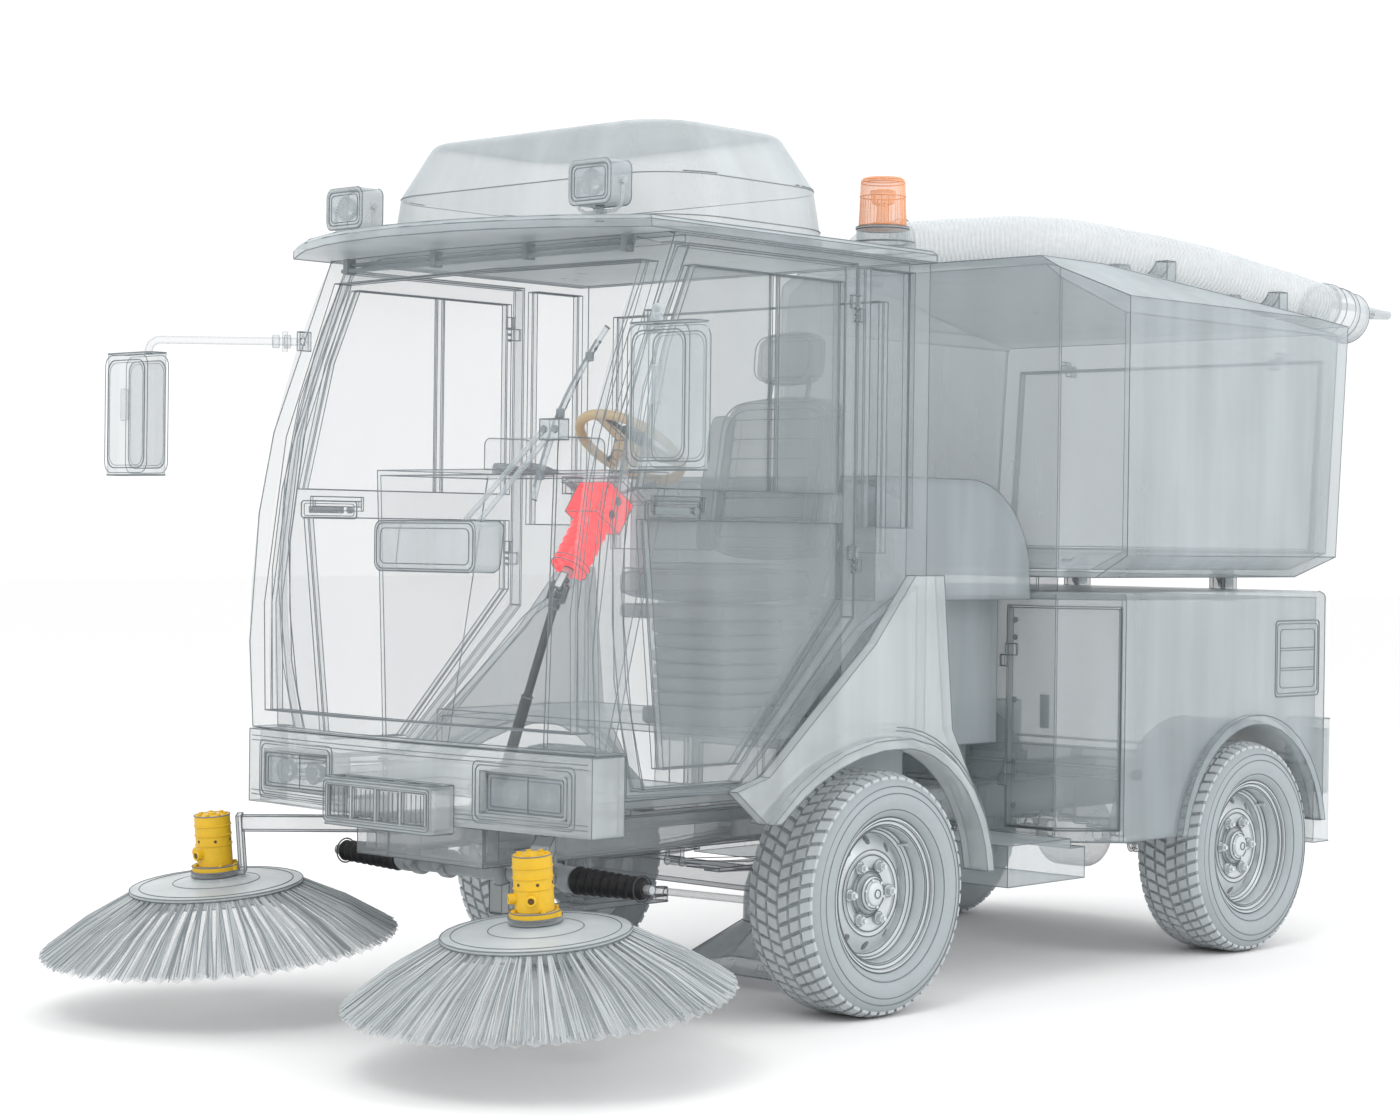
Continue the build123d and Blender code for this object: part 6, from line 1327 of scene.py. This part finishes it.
class SWEEPER_OT_seat(bpy.types.Operator):
    """Model the driver's padded seat on its pedestal"""

    bl_idname = "sweeper.seat"
    bl_label = "Driver's seat"

    def execute(self, context):
        slats = (-0.72, -0.48, -0.24, 0.0, 0.24, 0.48, 0.72)
        cushion(
            "seat_cushion", (0.124, -1.092, 1.118), (0.544, -0.668, 1.226),
            ("driver_seat",), channels=(-0.5, 0.0, 0.5), across=0,
        )
        cushion(
            "seat_back", (0.124, -0.676, 1.236), (0.544, -0.576, 1.690),
            lean=0.17, channels=slats, across=2,
        )
        cushion(
            "seat_head", (0.222, -0.622, 1.722), (0.446, -0.536, 1.872), lean=0.10, bulge=0.012
        )
        for name, side in SIDES:
            x = SEAT_X + side * 0.196
            cushion(
                f"seat_bolster_{name}", (x - 0.034, -0.715, 1.262), (x + 0.034, -0.632, 1.640),
                lean=0.17, bulge=0.008,
            )
        bm = bmesh.new()
        add_box(bm, (0.144, -1.060, 1.078), (0.524, -0.700, 1.116), 0.010)
        add_box(bm, (0.184, -1.010, 0.792), (0.484, -0.730, 0.840), 0.012)
        for level in range(6):
            grow = 0.004 * (level % 2)
            foot = 0.842 + level * 0.039
            low, high = (0.204 - grow, -0.990 - grow, foot), (0.464 + grow, -0.750 + grow, foot + 0.037)
            add_box(bm, low, high, 0.012)
        for sx in (-0.07, 0.07):
            add_rod(bm, (SEAT_X + sx, -0.592, 1.680), (SEAT_X + sx, -0.580, 1.740), 0.007, 10)
        add_rod(bm, (0.120, -0.690, 1.100), (0.548, -0.690, 1.100), 0.010, 12)
        add_rod(bm, (0.560, -0.700, 1.140), (0.560, -0.640, 1.290), 0.009, 12)
        piece("seat_base", bm, finish("dark"), "chassis", smooth=35)
        bm = bmesh.new()
        for spot in slats:
            height = 1.463 + spot * 0.227
            y = -0.672 + 0.17 * (height - 1.463)
            across = (-0.16, -0.08, 0, 0.08, 0.16)
            bow = [Vector((SEAT_X + x, y + 0.012 * (x / 0.17) ** 2, height)) for x in across]
            add_tube(bm, smooth_path(bow, 16), 0.0022, LINE_SIDES)
        matrix = frame_of((SEAT_X, -0.672, 1.463), (1, 0, 0), (0, 0.17, 1))
        add_loops(bm, matrix, ((0.196, 0.212, 0.07, 0.0019), (0.178, 0.194, 0.07, 0.0019)))
        matrix = frame_of((SEAT_X, -0.620, 1.797), (1, 0, 0), (0, 0.1, 1))
        add_loops(bm, matrix, ((0.100, 0.062, 0.04, 0.0019),))
        piping = ((0.196, 0.196, 1.212), (0.150, 0.160, 1.227), (0.200, 0.200, 1.150))
        for half_wide, half_deep, height in piping:
            matrix = frame_of((SEAT_X, -0.880, height), (1, 0, 0), (0, 1, 0))
            add_loops(bm, matrix, ((half_wide, half_deep, 0.07, 0.0017),))
        draw_lines("seat_seams", bm, "chassis")
        return {"FINISHED"}


class SWEEPER_OT_doors(bpy.types.Operator):
    """Add handles, gaskets, hinge screws and service door fittings"""

    bl_idname = "sweeper.doors"
    bl_label = "Door details"

    def execute(self, context):
        for name, side in SIDES:
            body = BODY_OF[f"cab_door_{name}"]
            bm_trim, bm_line = bmesh.new(), bmesh.new()
            outward = Vector((side, 0, 0))
            matrix = frame_of(Vector((side * 0.6688, -1.400, 1.362)), outward.cross(UP) * -1, UP)
            add_loops(bm_line, matrix, ((0.100, 0.024, 0.009, 0.0022), (0.090, 0.017, 0.006, 0.0014)))
            low_x, high_x = sorted((side * 0.669, side * 0.676))
            add_box(bm_trim, (low_x, -1.470, 1.352), (high_x, -1.345, 1.372), 0.003)
            add_rod(bm_trim, (side * 0.668, -1.322, 1.362), (side * 0.677, -1.322, 1.362), 0.010, 18)
            for height in (1.210, 1.227, 1.244, 1.880, 1.897, 1.914):
                start = (side * 0.672, -0.708, height - 0.001)
                add_rod(bm_line, start, (side * 0.6795, -0.708, height + 0.001), 0.0045, 8)
            piece(f"door_fittings_{name}", bm_trim, finish("dark"), body, smooth=35)
            draw_lines(f"door_lines_{name}", bm_line, body)

            body = BODY_OF[f"service_door_{name}"]
            bm = bmesh.new()
            for height in (0.500, 0.631, 0.820, 1.008, 1.060):
                add_rod(bm, (side * 0.405, 0.3845, height), (side * 0.405, 0.3795, height), 0.0085, 14)
                add_rod(bm, (side * 0.405, 0.3800, height), (side * 0.405, 0.3765, height), 0.0045, 6)
            low_x, high_x = sorted((side * 0.500, side * 0.532))
            add_box(bm, (low_x, 0.3795, 0.740), (high_x, 0.3845, 0.840), 0.0022)
            piece(f"service_fittings_{name}", bm, finish("dark"), body, smooth=35)
        return {"FINISHED"}


class SWEEPER_OT_bodywork(bpy.types.Operator):
    """Add recesses, rods, slats and seams to the bodywork"""

    bl_idname = "sweeper.bodywork"
    bl_label = "Bodywork details"

    def execute(self, context):
        bm_line, bm_trim = bmesh.new(), bmesh.new()
        for side in (1, -1):
            outward = Vector((side, 0, 0))
            matrix = frame_of((side * 0.7015, 1.503, 0.930), outward.cross(UP) * -1, UP)
            frames = ((0.132, 0.122, 0.0024), (0.122, 0.112, 0.0016), (0.104, 0.094, 0.0014))
            add_loops(bm_line, matrix, [(wide, high, 0.014, thick) for wide, high, thick in frames])
            for shift in (-0.030, 0.034):
                start = matrix @ Vector((-0.104, shift, 0))
                add_rod(bm_line, start, matrix @ Vector((0.104, shift, 0)), 0.0014, 4)
                add_rod(bm_line, start - UP * 0.008, matrix @ Vector((0.104, shift - 0.008, 0)), 0.0012, 4)
        for height, y in ((2.038, -1.440), (2.022, -1.452)):
            add_rod(bm_trim, (-0.560, y, height), (0.560, y, height), 0.006, 10)
        for x in (-0.540, -0.180, 0.180, 0.540):
            add_box(bm_trim, (x - 0.010, -1.460, 2.012), (x + 0.010, -1.428, 2.056), 0.003)
        nose = -1.790
        for row in range(4):
            x = -0.160 + row * 0.1067
            for bar in range(1, 5):
                place = x - 0.045 + bar * 0.018
                add_rod(bm_line, (place, nose + 0.006, 0.566), (place, nose + 0.006, 0.638), 0.0016, 4)
        matrix = frame_of((0, nose - 0.0003, 0.602), (1, 0, 0), UP)
        add_loops(bm_line, matrix, ((0.206, 0.054, 0.014, 0.0016), (0.198, 0.046, 0.010, 0.0013)))
        for x in (-0.5, -0.25, 0.0, 0.25, 0.5):
            add_rod(bm_line, (x, -1.340, 2.098), (x, -1.336, 2.104), 0.004, 6)
        for side in (1, -1):
            lamp = frame_of((side * 0.445, -1.6935, 0.653), (1, 0, 0), UP)
            for half_wide, half_high, thick in ((0.160, 0.068, 0.0017), (0.170, 0.078, 0.0013)):
                flat = rounded_rectangle(half_wide, half_high, 0.018)
                places = [lamp @ Vector((x, y, 0)) for x, y in flat]
                for place in places:
                    place.y = bumper_face(place.x)
                add_tube(bm_line, places, thick, LINE_SIDES, closed=True)
            wheel = Vector((side * 0.7005, -0.560, 0.334))
            for reach in (0.446, 0.456):
                turns = [math.radians(12 + 76 * step / 28) for step in range(29)]
                arc = [wheel + Vector((0, reach * math.cos(turn), reach * math.sin(turn))) for turn in turns]
                add_tube(bm_line, arc, 0.0014, LINE_SIDES)
            for height in (0.580, 0.592):
                bow = [Vector((side * x, bumper_face(x), height)) for x in (0.655, 0.5, 0.35, 0.215)]
                add_tube(bm_line, bow, 0.0014, LINE_SIDES)
        for height in (0.728, 0.740):
            across = (-0.655, -0.5, -0.35, -0.2, 0.0, 0.2, 0.35, 0.5, 0.655)
            bow = [Vector((x, bumper_face(x), height)) for x in across]
            add_tube(bm_line, bow, 0.0014, LINE_SIDES)
        for height, share in ((2.104, 0.9965), (2.122, 0.9920), (2.232, 0.9610)):
            flat = frame_of((0, AIR_UNIT_Y, height), (1, 0, 0), (0, 1, 0))
            half_wide, half_deep = (half * share for half in AIR_UNIT_HALF)
            places = rounded_rectangle(half_wide, half_deep, 0.200 * share, 14)
            add_loop(bm_line, flat, places, 0.0014, LINE_SIDES)
        draw_lines("bodywork_lines", bm_line, "chassis")
        piece("visor_rods", bm_trim, finish("dark"), "chassis", smooth=35)
        return {"FINISHED"}


class SWEEPER_OT_rack(bpy.types.Operator):
    """Add clamps, pipes and bands to the steering rack"""

    bl_idname = "sweeper.rack"
    bl_label = "Rack details"

    def execute(self, context):
        bm, bm_dark = bmesh.new(), bmesh.new()
        middle_rack = Vector((0, -1.400, 0.410))
        for side in (1, -1):
            for along in (0.150, 0.262):
                place = middle_rack + Vector((side * along, 0, 0))
                half_clamp = [(0.014, 0.0285), (0.014, 0.036), (0.010, 0.038)]
                clamp = [(-shift, out) for shift, out in half_clamp] + half_clamp[::-1]
                add_spun(bm, place, (1, 0, 0), clamp, 28)
                low, high = Vector((-0.014, -0.048, -0.008)), Vector((0.014, -0.034, 0.008))
                add_box(bm, place + low, place + high, 0.002)
                add_rod(bm, place + Vector((0, -0.042, -0.014)), place + Vector((0, -0.042, 0.014)), 0.005, 6)
            collar = [(-0.020, 0.0285), (-0.018, 0.034), (0.012, 0.034), (0.019, 0.031), (0.0195, 0.028)]
            add_spun(bm, middle_rack + Vector((side * 0.320, 0, 0)), (side, 0, 0), collar, 28)
            for reach, along in ((0.0335, 0.348), (0.0335, 0.578)):
                add_ring(bm_dark, middle_rack + Vector((side * along, 0, 0)), (1, 0, 0), reach, 0.0022, 32, 6)
            route = (
                (0.060, -0.040, 0.018), (0.070, -0.052, 0.022), (0.110, -0.055, 0.024),
                (0.200, -0.055, 0.022), (0.255, -0.052, 0.016), (0.285, -0.040, 0.006), (0.290, -0.030, 0.0),
            )
            pipe = [middle_rack + Vector((side * x, y, z)) for x, y, z in route]
            add_tube(bm, smooth_path(pipe, 36), 0.0055, 10)
            nut = middle_rack + Vector((side * 0.290, -0.036, 0))
            add_rod(bm, nut, nut + Vector((0, 0.010, 0)), 0.010, 6)
        for x in (-0.08, -0.03, 0.02):
            plug = middle_rack + Vector((x, -0.058, 0.010))
            add_rod(bm, plug, plug + Vector((0, 0.008, 0)), 0.007, 6)
        piece("rack_fittings", bm, finish("cast"), "chassis", smooth=35)
        piece("bellows_bands", bm_dark, finish("shaft"), "chassis")
        return {"FINISHED"}


class SWEEPER_OT_dash(bpy.types.Operator):
    """Add the instruments, levers and switches of the dashboard"""

    bl_idname = "sweeper.dash"
    bl_label = "Dashboard details"

    def execute(self, context):
        bm, bm_line = bmesh.new(), bmesh.new()
        for x in (-0.080, 0.030):
            place = Vector((x, -1.262, 1.4665))
            axis = Vector((0, 0.28, 1)).normalized()
            dial = [(0.0, 0.046), (0.010, 0.046), (0.013, 0.042), (0.009, 0.038), (0.009, 0.0)]
            add_spun(bm, place, axis, dial, 32)
            add_ring(bm_line, place + axis * 0.0125, axis, 0.0445, 0.0012, 36, 4)
            for number in range(9):
                way = Matrix.Rotation(-2.2 + number * 0.55, 3, axis) @ axis.orthogonal().normalized()
                mark = place + axis * 0.010
                add_rod(bm_line, mark + way * 0.028, mark + way * 0.035, 0.0008, LINE_SIDES)
        for number in range(6):
            x = -0.180 + number * 0.042
            add_box(bm, (x, -1.232, 1.4655), (x + 0.028, -1.206, 1.4755), 0.002)
        for side in (1, -1):
            root = Vector((SEAT_X + side * 0.050, -1.300, 1.408))
            stalk = [(0, 0, 0), (0.040, 0.002, 0.010), (0.085, 0.012, 0.020)]
            add_tube(bm, [root + Vector((side * x, y, z)) for x, y, z in stalk], 0.0048, 10)
            knob = [(0.078, 0.010, 0.018), (0.108, 0.018, 0.026)]
            add_rod(bm, *(root + Vector((side * x, y, z)) for x, y, z in knob), 0.008, 12)
        piece("dash_fittings", bm, finish("dark"), "chassis", smooth=35)
        draw_lines("dash_lines", bm_line)
        return {"FINISHED"}


class SWEEPER_OT_wiper(bpy.types.Operator):
    """Add joints, the blade's rubber and the housing's bezel to the wiper"""

    bl_idname = "sweeper.wiper"
    bl_label = "Wiper details"

    def execute(self, context):
        bm, bm_line = bmesh.new(), bmesh.new()
        front = frame_of((0.152, -1.7682, 1.2665), (1, 0, 0), UP)
        add_loops(bm_line, front, ((0.183, 0.058, 0.022, 0.0018), (0.168, 0.045, 0.016, 0.0014)))
        bracket = Vector((0.487, -1.640, 1.560))
        for shift in (-0.020, 0.020):
            add_rod(bm, bracket + Vector((shift, -0.020, 0)), bracket + Vector((shift, -0.012, 0)), 0.010, 6)
        blade = smooth_path(((0.452, -1.672, 1.385), (0.500, -1.628, 1.600), (0.577, -1.548, 1.815)), 30)
        add_tube(bm, [place + Vector((-0.004, -0.010, 0)) for place in blade[2:-2]], 0.0035, 6)
        for share in (0.15, 0.5, 0.85):
            place = blade[int(share * (len(blade) - 1))]
            add_box(bm, place - Vector((0.009, 0.012, 0.012)), place + Vector((0.009, 0.004, 0.012)), 0.003)
        piece("wiper_fittings", bm, finish("dark"), "chassis", smooth=35)
        draw_lines("wiper_lines", bm_line)
        return {"FINISHED"}


WHITE_GROUND = 1.06
LIGHTS_AIM = Vector((0, 0, 0.8))
# name, place, size in metres, watts
SOFT_LIGHTS = (
    ("key", (2.5, -6.0, 6.5), 3.0, 150),
    ("side", (7.5, 2.0, 5.0), 3.0, 150),
    ("top", (-1.0, 1.0, 8.0), 6.0, 120),
)


class SWEEPER_OT_stage(bpy.types.Operator):
    """Set the plain floor, the soft lights and the camera"""

    bl_idname = "sweeper.stage"
    bl_label = "Stage and camera"

    def execute(self, context):
        half = sizes().floor_half
        bm = bmesh.new()
        bmesh.ops.create_grid(bm, x_segments=1, y_segments=1, size=half)
        mesh = bpy.data.meshes.new("floor")
        bm.to_mesh(mesh)
        bm.free()
        floor = bpy.data.objects.new("floor", mesh)
        context.scene.collection.objects.link(floor)
        paint = solid("floor_pale", tuple(colours().floor), 0.9, grain=0.6, depth=0.01, bump=0.0)
        mesh.materials.append(paint)

        world = bpy.data.worlds.new("studio")
        world.use_nodes = True
        back = world.node_tree.nodes["Background"]
        back.inputs["Color"].default_value = (1.0, 1.0, 1.0, 1)
        back.inputs["Strength"].default_value = WHITE_GROUND
        context.scene.world = world
        for name, place, size, power in SOFT_LIGHTS:
            data = bpy.data.lights.new(name, "AREA")
            data.size = size
            data.energy = power
            lamp = bpy.data.objects.new(name, data)
            context.scene.collection.objects.link(lamp)
            lamp.location = place
            lamp.rotation_euler = (LIGHTS_AIM - Vector(place)).to_track_quat("-Z", "Y").to_euler()

        azimuth, rise, roll = sizes().camera_turn
        back_way = Vector(
            (math.sin(azimuth) * math.cos(rise), -math.cos(azimuth) * math.cos(rise), math.sin(rise))
        )
        right = (-back_way).cross(UP).normalized()
        up = back_way.cross(right)
        tipped = right * math.cos(roll) + up * math.sin(roll)
        upright = up * math.cos(roll) - right * math.sin(roll)
        data = bpy.data.cameras.new("camera")
        data.lens = sizes().lens
        data.sensor_width = 36.0
        data.clip_end = 200.0
        camera = bpy.data.objects.new("camera", data)
        context.scene.collection.objects.link(camera)
        turn = Matrix((tipped, upright, back_way)).transposed().to_4x4()
        camera.matrix_world = Matrix.Translation(sizes().camera_place) @ turn
        context.scene.camera = camera
        context.scene.view_settings.view_transform = "Standard"
        context.scene.cycles.transparent_max_bounces = 32
        context.scene.cycles.max_bounces = 4
        context.scene.cycles.diffuse_bounces = 2
        context.scene.cycles.glossy_bounces = 2
        return {"FINISHED"}


class SWEEPER_PT_panel(bpy.types.Panel):
    """The sweeper's finishing steps, in order"""

    bl_label = "Sweeper"
    bl_idname = "SWEEPER_PT_panel"
    bl_space_type = "VIEW_3D"
    bl_region_type = "UI"
    bl_category = "Sweeper"

    def draw(self, context):
        for step in STEPS:
            self.layout.operator(step.bl_idname)


STEPS = (
    SWEEPER_OT_parts,
    SWEEPER_OT_lines,
    SWEEPER_OT_tyres,
    SWEEPER_OT_wheels,
    SWEEPER_OT_bristles,
    SWEEPER_OT_motors,
    SWEEPER_OT_unit,
    SWEEPER_OT_hose,
    SWEEPER_OT_mirrors,
    SWEEPER_OT_lamps,
    SWEEPER_OT_beacon,
    SWEEPER_OT_seat,
    SWEEPER_OT_doors,
    SWEEPER_OT_bodywork,
    SWEEPER_OT_rack,
    SWEEPER_OT_dash,
    SWEEPER_OT_wiper,
    SWEEPER_OT_stage,
)
CLASSES = (SweeperSizes, SweeperColours, *STEPS, SWEEPER_PT_panel)


def register():
    for item in CLASSES:
        bpy.utils.register_class(item)
    bpy.types.Scene.sweeper_sizes = bpy.props.PointerProperty(type=SweeperSizes)
    bpy.types.Scene.sweeper_colours = bpy.props.PointerProperty(type=SweeperColours)


def unregister():
    del bpy.types.Scene.sweeper_colours
    del bpy.types.Scene.sweeper_sizes
    for item in reversed(CLASSES):
        bpy.utils.unregister_class(item)


def main():
    """Run every step in order."""
    register()
    for step in STEPS:
        group, name = step.bl_idname.split(".")
        getattr(getattr(bpy.ops, group), name)()


if __name__ == "__main__":
    main()
